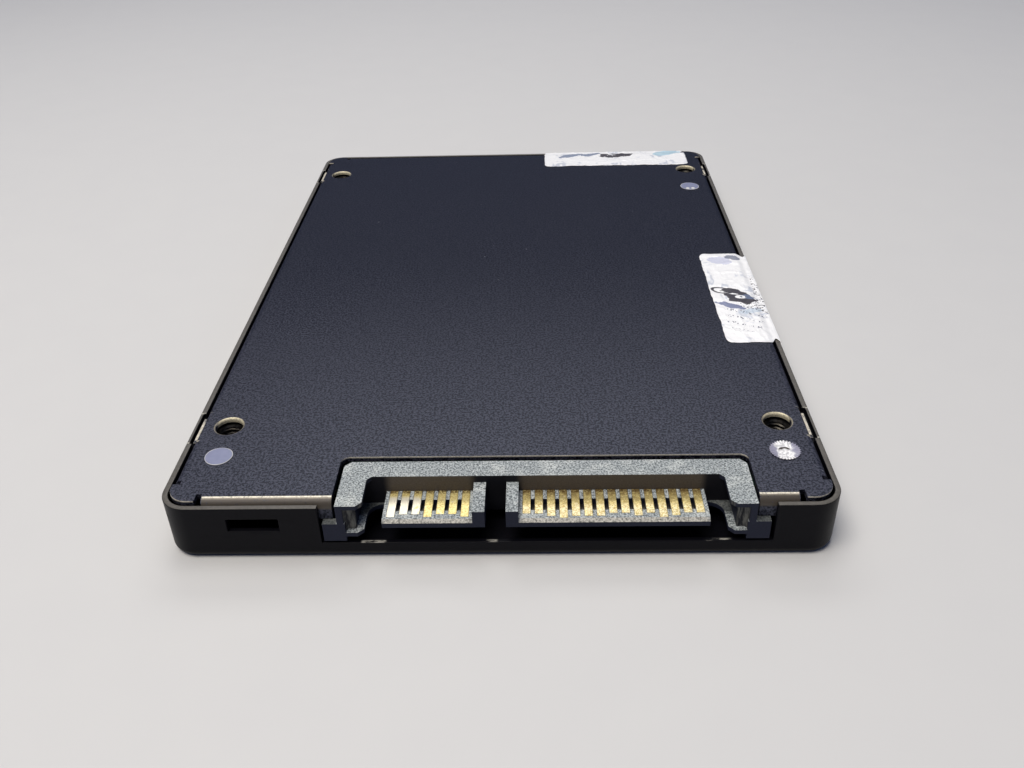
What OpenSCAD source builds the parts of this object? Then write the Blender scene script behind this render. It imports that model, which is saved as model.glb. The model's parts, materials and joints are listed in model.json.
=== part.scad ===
// Solid state drive, 2.5-inch, lying on its label face with the mounting cover up.
// Origin: centre of the base face. +X runs towards the power contacts, +Y from the
// connector end to the far end, +Z up through the mounting cover.
// A distance called "from the front" is measured from the connector end along +Y.

/* [Envelope] */
// Width across the side walls
drive_w = 69.85; // [69.6:0.05:70.1]
// Length from the connector end to the far end
drive_l = 100.2; // [100:0.05:100.45]
// Height from the base face to the cover's top face
drive_h = 7; // [7:0.1:8]

/* [Base shell] */
// Thickness of the shell's side walls
wall_t = 0.6; // [0.55:0.05:0.75]
// Thickness of the shell's floor
floor_t = 0.8; // [0.6:0.05:0.9]
// Radius of the shell's upright corners
corner_r = 3; // [2.6:0.1:3.6]
// Radius round the shell's lower edges
edge_r = 1; // [0.6:0.1:1.2]
// How far the shell's rim lies below the cover's top face
rim_drop = 0.25; // [0.1:0.05:0.3]
// Width of the small window in the front wall
window_w = 5.4; // [4:0.1:6]

/* [Cover plate] */
// Thickness of the cover's sheet metal
cover_t = 0.6; // [0.5:0.05:0.65]
// Gap between the cover's long edges and the shell's walls
cover_gap = 0.2; // [0.15:0.05:0.3]
// Gap between the cover's short edges and the shell's walls
cover_end_gap = 0.4; // [0.3:0.05:0.5]
// Outer radius of the cover's folded edges
bend_r = 0.8; // [0.7:0.05:0.9]
// Outer radius of the fold at the connector end
front_bend_r = 1.1; // [0.8:0.05:1.2]
// Height of the cover's folded edges
flange_drop = 2.35; // [1.6:0.05:2.4]
// Radius of the cover's corner tabs
cover_corner_r = 2.2; // [1.8:0.1:2.6]

/* [Mounting holes] */
// Distance between the left and right holes in the mounting face
hole_span_x = 61.72; // [61.62:0.01:61.82]
// Distance from the connector end to the first holes
hole_first = 14; // [13.9:0.05:14.1]
// Distance between the front and rear holes
hole_pitch_y = 76.6; // [76.5:0.05:76.7]
// Distance from the mounting face down to the side holes
side_hole_drop = 3; // [2.9:0.05:3.1]
// Radius of the bore of an M3 thread
m3_bore_r = 1.25; // [1.2:0.01:1.3]

/* [Data and power plug] */
// Distance from the drive's centre line to the plug's centre line
plug_offset = 4.8; // [4.7:0.05:4.9]
// Width of the plug across its guide arms
plug_w = 42.6; // [42.4:0.1:42.8]
// Distance between contacts
contact_pitch = 1.27; // [1.25:0.01:1.29]
// Width of a contact on the tongue
contact_w = 0.84; // [0.7:0.02:0.9]

/* [Circuit board] */
// Thickness of the circuit board
board_t = 1; // [0.8:0.1:1]
// Side of the square controller chip
controller_w = 17; // [14:0.5:17]
// Width of a flash memory package
flash_w = 14; // [12:0.5:14]
// Length of a flash memory package
flash_l = 18; // [16:0.5:18]

/* [Hidden] */
$fn = 72;
eps = 0.01;
// Clearance between a screw and its thread, and between a contact and its groove
fit_gap = 0.05;
groove_gap = 0.02;

front_y = -drive_l / 2;
wall_in_x = drive_w / 2 - wall_t;
rim_z = drive_h - rim_drop;
hole_x = hole_span_x / 2;
hole_froms = [hole_first, hole_first + hole_pitch_y];

cover_under = drive_h - cover_t;
cover_half_w = wall_in_x - cover_gap;
cover_from = wall_t + cover_end_gap;
cover_to = drive_l - cover_from;

// Height of the mating faces of the contacts, and thickness of the plug's tongues
mate_z = drive_h - 2;
tongue_t = 1.23;
key_top = mate_z + 1.15;
key_w = 1.28;
// Heights inside the plug housing
plug_bottom = drive_h - 4.65;
lip_z = drive_h - 4.05;
lip_t = 0.5;
ear_top = drive_h - 2.37;
ear_w = 1.55;
// Plan of the plug housing: bar behind the tongues and arms beside them
bar_from = 4.7;
bar_to = 7.2;
arm_w = 2.7;
arm_chamfer = 0.6;
pocket_to = 0.65;
pocket_w = 1.8;
pocket_r = 0.5;
// First and last contacts of the two tongues, counted along one row
contact_0 = plug_offset - 15.875;
power_index = 11;
signal_count = 7;
power_count = 15;
tongue_side = 0.82;
contact_t = 0.25;
// Where each contact starts, from the front: 0 last to mate, 1 earlier, 2 first
contact_starts = [1.02, 0.62, 0.36];
signal_steps = [1, 0, 0, 1, 0, 0, 1];
power_steps = [0, 0, 1, 2, 1, 1, 1, 0, 0, 1, 0, 2, 1, 0, 0];

// Cut-outs for the plug in the shell's front wall and in the cover
shell_cut = [-18.35, 28.1];
shell_cut_z = 2.05;
cover_cut = [plug_offset - plug_w / 2 - 0.5, plug_offset + plug_w / 2 + 0.35];
cover_cut_to = bar_to + 0.85;

// Pockets with spring tabs beside the side holes, between the cover's folded edges
pocket_half = 2.7;
pocket_inset = 0.4;
side_folds = [4.3, 95.9];
side_edges = [[side_folds[0], hole_froms[0] - pocket_half],
              [hole_froms[0] + pocket_half, hole_froms[1] - pocket_half],
              [hole_froms[1] + pocket_half, side_folds[1]]];
corner_notch = 0.6;
end_edge = 30.5;
// How far the front fold reaches beyond the cover's corners
front_bulge = 0.15;

// Board heights and plan
board_top = drive_h - 3.8;
board_under = board_top - board_t;
board_from = 7.35;
board_to = 97.4;
board_narrow = 27.6;
board_wide = 33.1;
wing_from = 19.2;
wing_to = 78.6;

// Screws: [x, from the front] of the cover's screws and of the board's screws
screw_front_left_at = [-30.5, 8.35];
screw_front_right_at = [30.5, 8.5];
screw_back_right_at = [30.5, 82.4];
cover_screws_at = [screw_front_left_at, screw_front_right_at, screw_back_right_at];
board_screws_at = [for (x = [-30.8, 30.8], from = [22.6, 75.2]) [x, from]];
screw_r = 0.8;
screw_l = 4;
head_r = 1.3;
head_h = 0.45;
dimple_depth = 0.5;
dimple_r = 1.95;
post_r = 2.1;
post_top = drive_h - dimple_depth - cover_t - 0.06;
seal_t = 0.06;

// ---- Shared shapes ----

// Moves children to a place given by x and the distance from the front
module at(x, from, z = 0) {
    translate([x, front_y + from, z]) children();
}

module rounded_rect(w, l, r) {
    square([w - 2 * r, l], center = true);
    square([w, l - 2 * r], center = true);
    for (x = [-1, 1], y = [-1, 1])
        translate([x * (w / 2 - r), y * (l / 2 - r)]) circle(r);
}

// A box centred on x and y that stands on z = 0
module block(w, l, h) {
    translate([-w / 2, -l / 2, 0]) cube([w, l, h]);
}

// A box given by its ends along x, its distances from the front and its heights
module slab(x, from, z) {
    translate([x[0], front_y + from[0], z[0]])
        cube([x[1] - x[0], from[1] - from[0], z[1] - z[0]]);
}

// Extrudes a profile drawn in (from the front, z) along x, centred on x
module along_x(x, width) {
    translate([x - width / 2, front_y, 0])
        rotate([90, 0, 90]) linear_extrude(width) children();
}

function contact_x(i) = contact_0 + contact_pitch * i;

// ---- Base shell ----

// Quarter disc with its round side down and outwards
module edge_quarter() {
    intersection() {
        translate([0, edge_r]) circle(edge_r);
        square(edge_r);
    }
}

module edge_bar(length) {
    translate([-length / 2, 0, 0]) rotate([90, 0, 90]) linear_extrude(length) edge_quarter();
}

module lower_corner() {
    rotate_extrude(angle = 90) {
        square([corner_r - edge_r, edge_r]);
        translate([corner_r - edge_r, 0]) edge_quarter();
    }
}

// The tray's foot: flat base, rolled edges and rounded corners
module shell_foot() {
    run_x = drive_w - 2 * corner_r;
    run_y = drive_l - 2 * corner_r;
    block(run_x, drive_l - 2 * edge_r, edge_r);
    block(drive_w - 2 * edge_r, run_y, edge_r);
    for (turn = [0, 180]) rotate(turn) {
        translate([0, drive_l / 2 - edge_r, 0]) edge_bar(run_x);
        translate([drive_w / 2 - edge_r, 0, 0]) rotate(-90) edge_bar(run_y);
        translate([run_x / 2, run_y / 2, 0]) lower_corner();
        translate([-run_x / 2, run_y / 2, 0]) rotate(90) lower_corner();
    }
}

module shell_body() {
    shell_foot();
    translate([0, 0, edge_r]) linear_extrude(rim_z - edge_r) rounded_rect(drive_w, drive_l, corner_r);
}

module shell_cavity() {
    translate([0, 0, floor_t]) linear_extrude(drive_h)
        rounded_rect(drive_w - 2 * wall_t, drive_l - 2 * wall_t, corner_r - wall_t);
}

// Bosses that hold the thread inserts, beside the walls
boss_x = [28.5, wall_in_x + eps];
boss_half = 2.8;
boss_top = cover_under - 0.3;
module insert_bosses() {
    for (side = [-1, 1], from = hole_froms)
        scale([side, 1, 1]) slab(boss_x, [from - boss_half, from + boss_half], [floor_t - eps, boss_top]);
}

insert_r = 1.6;
insert_l = 3;
side_insert_r = 1.75;
side_insert_x = [hole_x + insert_r + 0.3, drive_w / 2 - 0.1];
side_hole_z = drive_h - side_hole_drop;
module insert_pockets() {
    for (side = [-1, 1], from = hole_froms) {
        at(side * hole_x, from, boss_top - insert_l) cylinder(r = insert_r, h = insert_l + 1);
        at(side * side_insert_x[0], from, side_hole_z)
            rotate([0, side * 90, 0]) cylinder(r = side_insert_r, h = drive_w);
    }
}

// Posts for the screws of the cover and of the board
module screw_posts() {
    foot = floor_t - eps;
    for (p = cover_screws_at) at(p[0], p[1], foot) cylinder(r = post_r, h = post_top - foot);
    for (p = board_screws_at) at(p[0], p[1], foot) cylinder(r = post_r, h = board_under - foot);
}

module post_bores() {
    for (p = cover_screws_at) at(p[0], p[1], post_top - 4) cylinder(r = screw_r + fit_gap, h = 5);
    for (p = board_screws_at) at(p[0], p[1], floor_t) cylinder(r = screw_r + fit_gap, h = 5);
}

// Rests under the bar of the plug
module plug_rests() {
    for (x = [-15, plug_offset, 24.6])
        slab([x - 1.2, x + 1.2], [bar_from + 0.3, bar_to - 0.3], [floor_t - eps, plug_bottom]);
}

window_z = [3.7, 5.35];
window_x = -25.2;
label_w = 60;
label_l = 86;
label_recess = 0.14;
label_t = 0.1;

// Wider gaps in the wall's inner edge beside the pockets of the cover
module rim_recesses() {
    for (side = [-1, 1], from = hole_froms)
        scale([side, 1, 1]) slab([wall_in_x - 0.5, wall_in_x + 0.3],
            [from - pocket_half - 0.2, from + pocket_half + 0.1], [boss_top, drive_h]);
}

module base_shell() color([0.09, 0.09, 0.1]) {
    difference() {
        union() {
            difference() {
                shell_body();
                shell_cavity();
            }
            insert_bosses();
            screw_posts();
            plug_rests();
        }
        insert_pockets();
        post_bores();
        rim_recesses();
        slab(shell_cut, [-1, wall_t + 0.6], [shell_cut_z, drive_h]);
        slab([window_x - window_w / 2, window_x + window_w / 2], [-1, wall_t + 0.5], window_z);
        translate([0, 0, -eps]) linear_extrude(label_recess + eps) rounded_rect(label_w, label_l, 2);
    }
}

module product_label() color([0.85, 0.86, 0.87])
    translate([0, 0, label_recess - label_t])
        linear_extrude(label_t) rounded_rect(label_w - 0.6, label_l - 0.6, 1.7);

film_t = 0.15;
module insulator_film() color([0.75, 0.62, 0.3])
    difference() {
        translate([0, 0, floor_t]) linear_extrude(film_t) difference() {
            translate([0, front_y + (board_from + board_to) / 2])
                rounded_rect(2 * board_narrow, board_to - board_from - 2, 1);
            for (side = [-1, 1], from = [22.6, 75.2])
                translate([side * board_narrow, front_y + from]) circle(1);
        }
    }

module bottom_thread_inserts() color([0.72, 0.7, 0.66])
    for (side = [-1, 1], from = hole_froms)
        at(side * hole_x, from, boss_top - insert_l) difference() {
            cylinder(r = insert_r, h = insert_l);
            translate([0, 0, -1]) cylinder(r = m3_bore_r, h = insert_l + 2);
        }

module side_thread_inserts() color([0.72, 0.7, 0.66])
    for (side = [-1, 1], from = hole_froms)
        at(side * side_insert_x[0], from, side_hole_z) rotate([0, side * 90, 0]) difference() {
            cylinder(r = side_insert_r, h = side_insert_x[1] - side_insert_x[0]);
            translate([0, 0, -1]) cylinder(r = m3_bore_r, h = drive_w);
        }

// ---- Cover plate ----

// Flat strip that the outline loses where an edge is folded or notched
module side_strip(from, to, depth) {
    for (side = [-1, 1])
        scale([side, 1]) translate([cover_half_w - depth, front_y + from])
            square([depth + 1, to - from]);
}

module end_strip(x, front_depth, back_depth) {
    translate([x[0], front_y + cover_from - 1]) square([x[1] - x[0], front_depth + 1]);
    translate([x[0], front_y + cover_to - back_depth]) square([x[1] - x[0], back_depth + 1]);
}

module cover_outline() {
    difference() {
        rounded_rect(2 * cover_half_w, cover_to - cover_from, cover_corner_r);
        for (e = side_edges) side_strip(e[0], e[1], bend_r);
        for (from = hole_froms) side_strip(from - pocket_half - eps, from + pocket_half + eps, pocket_inset);
        side_strip(side_folds[0] - corner_notch, side_folds[0] + eps, bend_r);
        side_strip(side_folds[1] - eps, side_folds[1] + corner_notch, bend_r);
        end_strip([-end_edge, end_edge], front_bend_r - front_bulge, bend_r);
        for (side = [-1, 1])
            end_strip([side * (end_edge + corner_notch / 2) - corner_notch / 2,
                       side * (end_edge + corner_notch / 2) + corner_notch / 2],
                      front_bend_r, bend_r + 0.2);
        translate([(cover_cut[0] + cover_cut[1]) / 2, front_y + cover_cut_to / 2 - 1])
            rounded_rect(cover_cut[1] - cover_cut[0], cover_cut_to + 2, 0.9);
    }
}

// Folded edge: quarter bend and upright leg, drawn as (outwards, z) from the fold line
module fold_profile(r) {
    translate([0, drive_h - r]) intersection() {
        difference() {
            circle(r);
            circle(r - cover_t);
        }
        square(r);
    }
    translate([r - cover_t, drive_h - flange_drop]) square([cover_t, flange_drop - r + eps]);
    translate([-eps, cover_under]) square([2 * eps, cover_t]);
}

module folded_edge(length, r) {
    rotate([90, 0, 0]) linear_extrude(length) fold_profile(r);
}

module cover_folds() {
    for (side = [-1, 1], e = side_edges)
        scale([side, 1, 1]) at(cover_half_w - bend_r, e[1]) folded_edge(e[1] - e[0], bend_r);
    for (x = [[-end_edge, cover_cut[0]], [cover_cut[1], end_edge]])
        at(x[1], cover_from - front_bulge + front_bend_r) rotate(-90) folded_edge(x[1] - x[0], front_bend_r);
    at(-end_edge, cover_to - bend_r) rotate(90) folded_edge(2 * end_edge, bend_r);
}

// Springy tabs that leave the folded edge and run along the pockets
module spring_tabs() {
    for (side = [-1, 1], from = hole_froms)
        scale([side, 1, 1]) slab([cover_half_w - 0.3, cover_half_w - 0.02],
            [from - pocket_half - 0.3, from + pocket_half - 1.2], [cover_under - 0.05, drive_h - 0.12]);
}

// Room under the folded edges for the bosses of the thread inserts
module boss_clearance() {
    for (side = [-1, 1], from = hole_froms)
        scale([side, 1, 1]) slab([boss_x[0] - 0.3, boss_x[1] + 1],
            [from - boss_half - 0.2, from + boss_half + 0.2], [0, boss_top + 0.1]);
}

cover_hole_r = 1.52;
lip_r = 0.32;
// Rolled lip of a mounting hole
module lip_cut() {
    translate([0, 0, drive_h - 3]) cylinder(r = cover_hole_r, h = 4);
    translate([0, 0, drive_h - lip_r]) rotate_extrude() difference() {
        square([cover_hole_r + lip_r, lip_r + eps]);
        translate([cover_hole_r + lip_r, 0]) circle(lip_r);
    }
}

module cover_plate() color([0.19, 0.195, 0.215])
    difference() {
        union() {
            translate([0, 0, cover_under]) linear_extrude(cover_t) cover_outline();
            cover_folds();
            spring_tabs();
            for (p = cover_screws_at)
                at(p[0], p[1], drive_h - dimple_depth - cover_t)
                    cylinder(r = dimple_r, h = dimple_depth + cover_t);
        }
        for (p = cover_screws_at) {
            at(p[0], p[1], drive_h - dimple_depth) cylinder(r = head_r + fit_gap, h = 1);
            at(p[0], p[1], drive_h - 3) cylinder(r = 1, h = 4);
        }
        for (side = [-1, 1], from = hole_froms) at(side * hole_x, from) lip_cut();
        boss_clearance();
    }

// Foil seals lie on the cover and turn down over the shell's edge
seal_gap = 0.03;
seal_down = 4.4;
module side_seal() color([0.85, 0.86, 0.88]) {
    reach = drive_w / 2 + seal_gap + seal_t;
    slab([28.2, reach], [30.7, 56.1], [drive_h, drive_h + seal_t]);
    slab([reach - seal_t, reach], [30.7, 56.1], [seal_down, drive_h]);
}

module back_seal() color([0.85, 0.86, 0.88]) {
    reach = drive_l + seal_gap + seal_t;
    slab([5.8, 31.7], [92.75, reach], [drive_h, drive_h + seal_t]);
    slab([5.8, 31.7], [reach - seal_t, reach], [seal_down, drive_h]);
}

// ---- Screws and their round seals ----

module cross_recess(size, depth) {
    for (turn = [0, 90])
        rotate(turn) translate([0, 0, -depth / 2]) cube([size, size / 5, depth], center = true);
}

module cover_screw(place) color([0.62, 0.62, 0.64])
    at(place[0], place[1], drive_h - dimple_depth + eps) difference() {
        union() {
            cylinder(r = head_r, h = head_h);
            translate([0, 0, -screw_l]) cylinder(r = screw_r, h = screw_l + eps);
        }
        translate([0, 0, head_h + eps]) cross_recess(1.5, 0.35);
    }

module screw_seal(place, r) color([0.66, 0.66, 0.72])
    at(place[0], place[1], drive_h + eps) cylinder(r = r, h = seal_t);

module cover_screw_front_left() cover_screw(screw_front_left_at);
module cover_screw_front_right() cover_screw(screw_front_right_at);
module cover_screw_back_right() cover_screw(screw_back_right_at);
module screw_seal_front_left() screw_seal(screw_front_left_at, 1.5);
module screw_seal_front_right() screw_seal(screw_front_right_at, 1.65);
module screw_seal_back_right() screw_seal(screw_back_right_at, 1.55);

board_head_r = 1.8;
board_head_h = 0.8;
module board_screws() color([0.6, 0.6, 0.62])
    for (p = board_screws_at) at(p[0], p[1], board_top) difference() {
        union() {
            cylinder(r = board_head_r, h = board_head_h);
            translate([0, 0, floor_t + 0.1 - board_top]) cylinder(r = screw_r, h = board_top - floor_t);
        }
        translate([0, 0, board_head_h + eps]) cross_recess(2, 0.5);
    }

// ---- Data and power plug ----

// Plan of the bar and arms, symmetrical about the plug's centre line
module plug_plan() {
    half = plug_w / 2;
    inner = half - arm_w;
    for (side = [-1, 1]) scale([side, 1]) polygon([
        [0, bar_from], [inner - 0.5, bar_from], [inner, bar_from - 0.5],
        [inner, arm_chamfer], [inner + arm_chamfer, 0], [half, 0],
        [half, bar_to - 0.7], [half - 0.7, bar_to], [0, bar_to]
    ]);
}

// Plan of the lip under an arm, with the web that rounds out from it along the bar
web_r = 1.6;
module lip_plan() {
    half = plug_w / 2;
    inner = half - arm_w + 0.1;
    for (side = [-1, 1]) scale([side, 1]) {
        polygon([[inner, bar_from + eps], [inner, 0.6], [inner + 0.6, 0], [half, 0], [half, bar_from + eps]]);
        difference() {
            translate([inner - 1.9, bar_from - web_r - 0.3]) square([1.9 + eps, web_r + 0.3 + eps]);
            translate([inner - web_r, bar_from - web_r - 0.3]) circle(web_r);
        }
    }
}

// Plan of an arm's wall, with the shallow pocket in its front
arm_wall_t = 0.7;
module arm_wall_plan() {
    half = plug_w / 2;
    difference() {
        translate([half - pocket_w, 0]) square([pocket_w, bar_from + eps]);
        hull() {
            translate([half - pocket_w - 1, -1]) square([pocket_w + 1 - arm_wall_t, 1]);
            translate([half - pocket_w - 1, pocket_to - 0.1]) square(0.1);
            translate([half - arm_wall_t - pocket_r, pocket_to - pocket_r]) circle(pocket_r);
        }
    }
}

module plug_bar_and_arms() {
    half = plug_w / 2;
    translate([plug_offset, front_y, 0]) {
        translate([0, 0, drive_h - lip_t]) linear_extrude(lip_t) plug_plan();
        translate([0, 0, lip_z]) linear_extrude(lip_t) lip_plan();
        translate([0, 0, plug_bottom]) linear_extrude(drive_h - plug_bottom) intersection() {
            plug_plan();
            translate([-half, bar_from]) square([2 * half, bar_to]);
        }
    }
    for (side = [-1, 1]) translate([plug_offset, 0, 0]) scale([side, 1, 1]) {
        translate([0, front_y, lip_z]) linear_extrude(drive_h - lip_z) arm_wall_plan();
        slab([half - 0.8, half + ear_w], [0, 0.9], [plug_bottom, ear_top]);
        slab([half - 0.8, half], [0, bar_from + eps], [plug_bottom, lip_z + eps]);
    }
}

// Profile of a tongue with bevelled front edges, as (from the front, z)
module tongue_profile(top) {
    polygon([
        [0, mate_z - tongue_t + 0.35], [0.35, mate_z - tongue_t], [bar_from + eps, mate_z - tongue_t],
        [bar_from + eps, top], [0.33, top], [0, top - 0.33]
    ]);
}

module tongue(first, last, key_side) {
    left = contact_x(first) - tongue_side;
    right = contact_x(last) + tongue_side;
    key_x = key_side > 0 ? right + key_w / 2 : left - key_w / 2;
    along_x((left + right) / 2, right - left + 2 * eps) tongue_profile(mate_z);
    along_x(key_x, key_w) polygon([
        [0, mate_z - tongue_t + 0.35], [0.35, mate_z - tongue_t], [bar_from + eps, mate_z - tongue_t],
        [bar_from + eps, key_top], [0, key_top]
    ]);
}

// Grooves for the contacts and the open slots beside them
module contact_grooves(first, steps) {
    half = contact_w / 2 + groove_gap;
    for (i = [0:len(steps) - 1]) {
        x = contact_x(first + i);
        slab([x - half, x + half], [contact_starts[steps[i]] - groove_gap, bar_to + 1],
             [mate_z - contact_t + 0.03 - groove_gap, mate_z + 0.03 + groove_gap]);
    }
    for (i = [0:len(steps) - 2])
        slab([contact_x(first + i) + half, contact_x(first + i + 1) - half],
             [1.55, 3.3], [mate_z - 0.75, mate_z + 1]);
}

module plug_housing() color([0.2, 0.21, 0.22])
    difference() {
        union() {
            plug_bar_and_arms();
            tongue(0, signal_count - 1, 1);
            tongue(power_index, power_index + power_count - 1, -1);
        }
        contact_grooves(0, signal_steps);
        contact_grooves(power_index, power_steps);
    }

// A contact: flat on the tongue, through the bar, then down to a foot on the board
tail_w = 0.5;
tail_from = bar_to + 0.25;
foot_from = bar_to + 0.95;
foot_to = bar_to + 2.2;
module contact(x, start) {
    top = mate_z + 0.03;
    slab([x - contact_w / 2, x + contact_w / 2], [start, bar_to], [top - contact_t, top]);
    along_x(x, tail_w) polygon([
        [bar_to - eps, top], [tail_from + contact_t, top], [foot_from + 0.1, board_top + contact_t],
        [foot_to, board_top + contact_t], [foot_to, board_top], [foot_from - 0.12, board_top],
        [tail_from, top - contact_t], [bar_to - eps, top - contact_t]
    ]);
}

module contact_row(first, steps) color([0.85, 0.66, 0.3])
    for (i = [0:len(steps) - 1]) contact(contact_x(first + i), contact_starts[steps[i]]);

module signal_contacts() contact_row(0, signal_steps);
module power_contacts() contact_row(power_index, power_steps);

// Metal feet that fix the ends of the bar to the board
hold_t = 0.25;
module plug_hold_downs() color([0.75, 0.75, 0.74])
    for (side = [-1, 1]) {
        x = plug_offset + side * (plug_w / 2 - 2.6);
        along_x(x, 1.6) polygon([
            [bar_to, board_top], [bar_to + 2.3, board_top], [bar_to + 2.3, board_top + hold_t],
            [bar_to + hold_t, board_top + hold_t],
            [bar_to + hold_t, board_top + 2.2], [bar_to, board_top + 2.2]
        ]);
    }

// ---- Circuit board and what it carries ----

module circuit_board() color([0.05, 0.22, 0.14])
    difference() {
        translate([0, 0, board_under]) linear_extrude(board_t) union() {
            translate([-board_narrow, front_y + board_from])
                square([2 * board_narrow, board_to - board_from]);
            translate([-board_wide, front_y + wing_from]) square([2 * board_wide, wing_to - wing_from]);
        }
        for (p = board_screws_at) at(p[0], p[1], 0) cylinder(r = 1.1, h = drive_h);
    }

// Chip with its marking corner cut
module chip(w, l, h) {
    linear_extrude(h) polygon([
        [-w / 2 + 0.5, -l / 2], [w / 2, -l / 2], [w / 2, l / 2], [-w / 2, l / 2], [-w / 2, -l / 2 + 0.5]
    ]);
}

controller_at = [-1.5, 33];
controller_h = 1.2;
module controller_chip() color([0.06, 0.06, 0.07])
    at(controller_at[0], controller_at[1], board_top) chip(controller_w, controller_w, controller_h);

pad_gap = 0.15;
module thermal_pad() color([0.62, 0.68, 0.72])
    at(controller_at[0], controller_at[1], board_top + controller_h)
        block(controller_w - 2, controller_w - 2, cover_under - board_top - controller_h - pad_gap);

module dram_chip() color([0.07, 0.07, 0.08]) at(-20, 33, board_top) chip(9, 13, 1);

flash_at = [for (x = [-15.5, 15.5], from = [57, 82]) [x, from]];
flash_h = 1;
module flash_top() color([0.06, 0.06, 0.07])
    for (p = flash_at) at(p[0], p[1], board_top) chip(flash_w, flash_l, flash_h);
module flash_underside() color([0.06, 0.06, 0.07])
    for (p = flash_at) at(p[0], p[1], board_under) mirror([0, 0, 1]) chip(flash_w, flash_l, flash_h);

module power_management_chip() color([0.07, 0.07, 0.08]) at(17.5, 25.5, board_top) chip(6, 6, 0.85);

serial_flash_at = [-20.5, 17.5];
module serial_flash_chip() color([0.07, 0.07, 0.08])
    at(serial_flash_at[0], serial_flash_at[1], board_top + 0.1) chip(5, 4, 1.5);
module serial_flash_leads() color([0.75, 0.75, 0.76])
    for (side = [-1, 1], i = [-1.5:1.5])
        at(serial_flash_at[0] + i * 1.27, serial_flash_at[1] + side * 2.55, board_top)
            block(0.42, 1.1, 0.9);

inductor_w = 4;
inductor_h = 1.9;
inductor_xs = [10.5, 16.7, 22.9];
inductor_from = 15.5;
module power_inductors() color([0.3, 0.3, 0.32])
    for (x = inductor_xs) at(x, inductor_from, board_top)
        linear_extrude(inductor_h) rounded_rect(inductor_w, inductor_w, 0.6);
module inductor_terminals() color([0.75, 0.75, 0.76])
    for (x = inductor_xs, side = [-1, 1])
        at(x + side * (inductor_w / 2 + 0.15), inductor_from, board_top) block(0.3, 2.6, 0.9);

module tantalum_capacitors() color([0.72, 0.5, 0.16])
    for (from = [33, 38.4, 43.8]) at(23, from, board_top) block(7.2, 4.2, 1.9);

// Ceramic parts of one size in a row
module smd_row(count, start, step, size) {
    for (i = [0:count - 1])
        at(start[0] + i * step[0], start[1] + i * step[1], board_top) block(size[0], size[1], size[2]);
}

module ceramic_capacitors() color([0.6, 0.5, 0.38]) {
    smd_row(6, [9.3, 20], [2.4, 0], [1.3, 2, 1]);
    smd_row(5, [11, 31], [0, 2.6], [2, 1.3, 1]);
    smd_row(4, [-2.6, 54], [0, 5], [1.3, 2, 1]);
    smd_row(4, [2.6, 54], [0, 5], [1.3, 2, 1]);
    smd_row(4, [-2.6, 76], [0, 4], [1.3, 2, 1]);
    smd_row(4, [2.6, 76], [0, 4], [1.3, 2, 1]);
}

module small_capacitors() color([0.62, 0.54, 0.42]) {
    smd_row(4, [-9.2, 12], [1.9, 0], [0.5, 1, 0.5]);
    smd_row(9, [-9.5, 22.2], [2, 0], [0.5, 1, 0.5]);
    smd_row(9, [-9.5, 43.6], [2, 0], [0.5, 1, 0.5]);
    smd_row(5, [-24, 41.8], [2, 0], [0.5, 1, 0.5]);
    smd_row(6, [-12.6, 28], [0, 2], [1, 0.5, 0.5]);
    smd_row(8, [-29.6, 52], [0, 2.6], [1, 0.5, 0.5]);
    smd_row(8, [29.6, 52], [0, 2.6], [1, 0.5, 0.5]);
}

module small_resistors() color([0.1, 0.1, 0.11]) {
    smd_row(6, [-27.6, 26], [0, 2], [1, 0.5, 0.4]);
    smd_row(7, [-13, 14.6], [1.6, 0], [0.5, 1, 0.4]);
    smd_row(5, [23.4, 22.6], [0, 1.6], [1, 0.5, 0.4]);
    smd_row(10, [-9, 47], [2, 0], [0.5, 1, 0.4]);
    smd_row(6, [-5, 71], [2, 0], [0.5, 1, 0.4]);
}

module input_fuse() color([0.86, 0.86, 0.84]) at(5.5, 13, board_top) block(1.6, 3.2, 0.7);
module surge_suppressor() color([0.08, 0.08, 0.09]) at(5.2, 18.6, board_top) block(2.8, 4.4, 1.6);

module crystal_oscillator() color([0.78, 0.77, 0.72])
    at(-13.4, 18.6, board_top) linear_extrude(0.75) rounded_rect(3.2, 2.5, 0.3);

base_shell();
product_label();
insulator_film();
bottom_thread_inserts();
side_thread_inserts();
circuit_board();
board_screws();
plug_housing();
signal_contacts();
power_contacts();
plug_hold_downs();
controller_chip();
dram_chip();
flash_top();
flash_underside();
power_management_chip();
serial_flash_chip();
serial_flash_leads();
power_inductors();
inductor_terminals();
tantalum_capacitors();
ceramic_capacitors();
small_capacitors();
small_resistors();
input_fuse();
surge_suppressor();
crystal_oscillator();
thermal_pad();
cover_plate();
side_seal();
back_seal();
cover_screw_front_left();
cover_screw_front_right();
cover_screw_back_right();
screw_seal_front_left();
screw_seal_front_right();
screw_seal_back_right();
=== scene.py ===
"""Looks of the 2.5-inch solid state drive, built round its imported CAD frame."""

import functools
import json
import math

import bmesh
import bpy
from mathutils import Matrix, Vector, noise


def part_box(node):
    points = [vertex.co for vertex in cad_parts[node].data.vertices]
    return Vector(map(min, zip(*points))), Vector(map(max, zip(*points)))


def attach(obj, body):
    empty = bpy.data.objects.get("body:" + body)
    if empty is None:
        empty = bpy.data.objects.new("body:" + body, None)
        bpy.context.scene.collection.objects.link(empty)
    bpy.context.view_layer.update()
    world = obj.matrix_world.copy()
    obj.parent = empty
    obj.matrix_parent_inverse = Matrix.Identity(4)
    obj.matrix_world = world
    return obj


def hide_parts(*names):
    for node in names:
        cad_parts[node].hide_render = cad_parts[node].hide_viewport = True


MM = 0.001
TURN = 2 * math.pi

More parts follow.
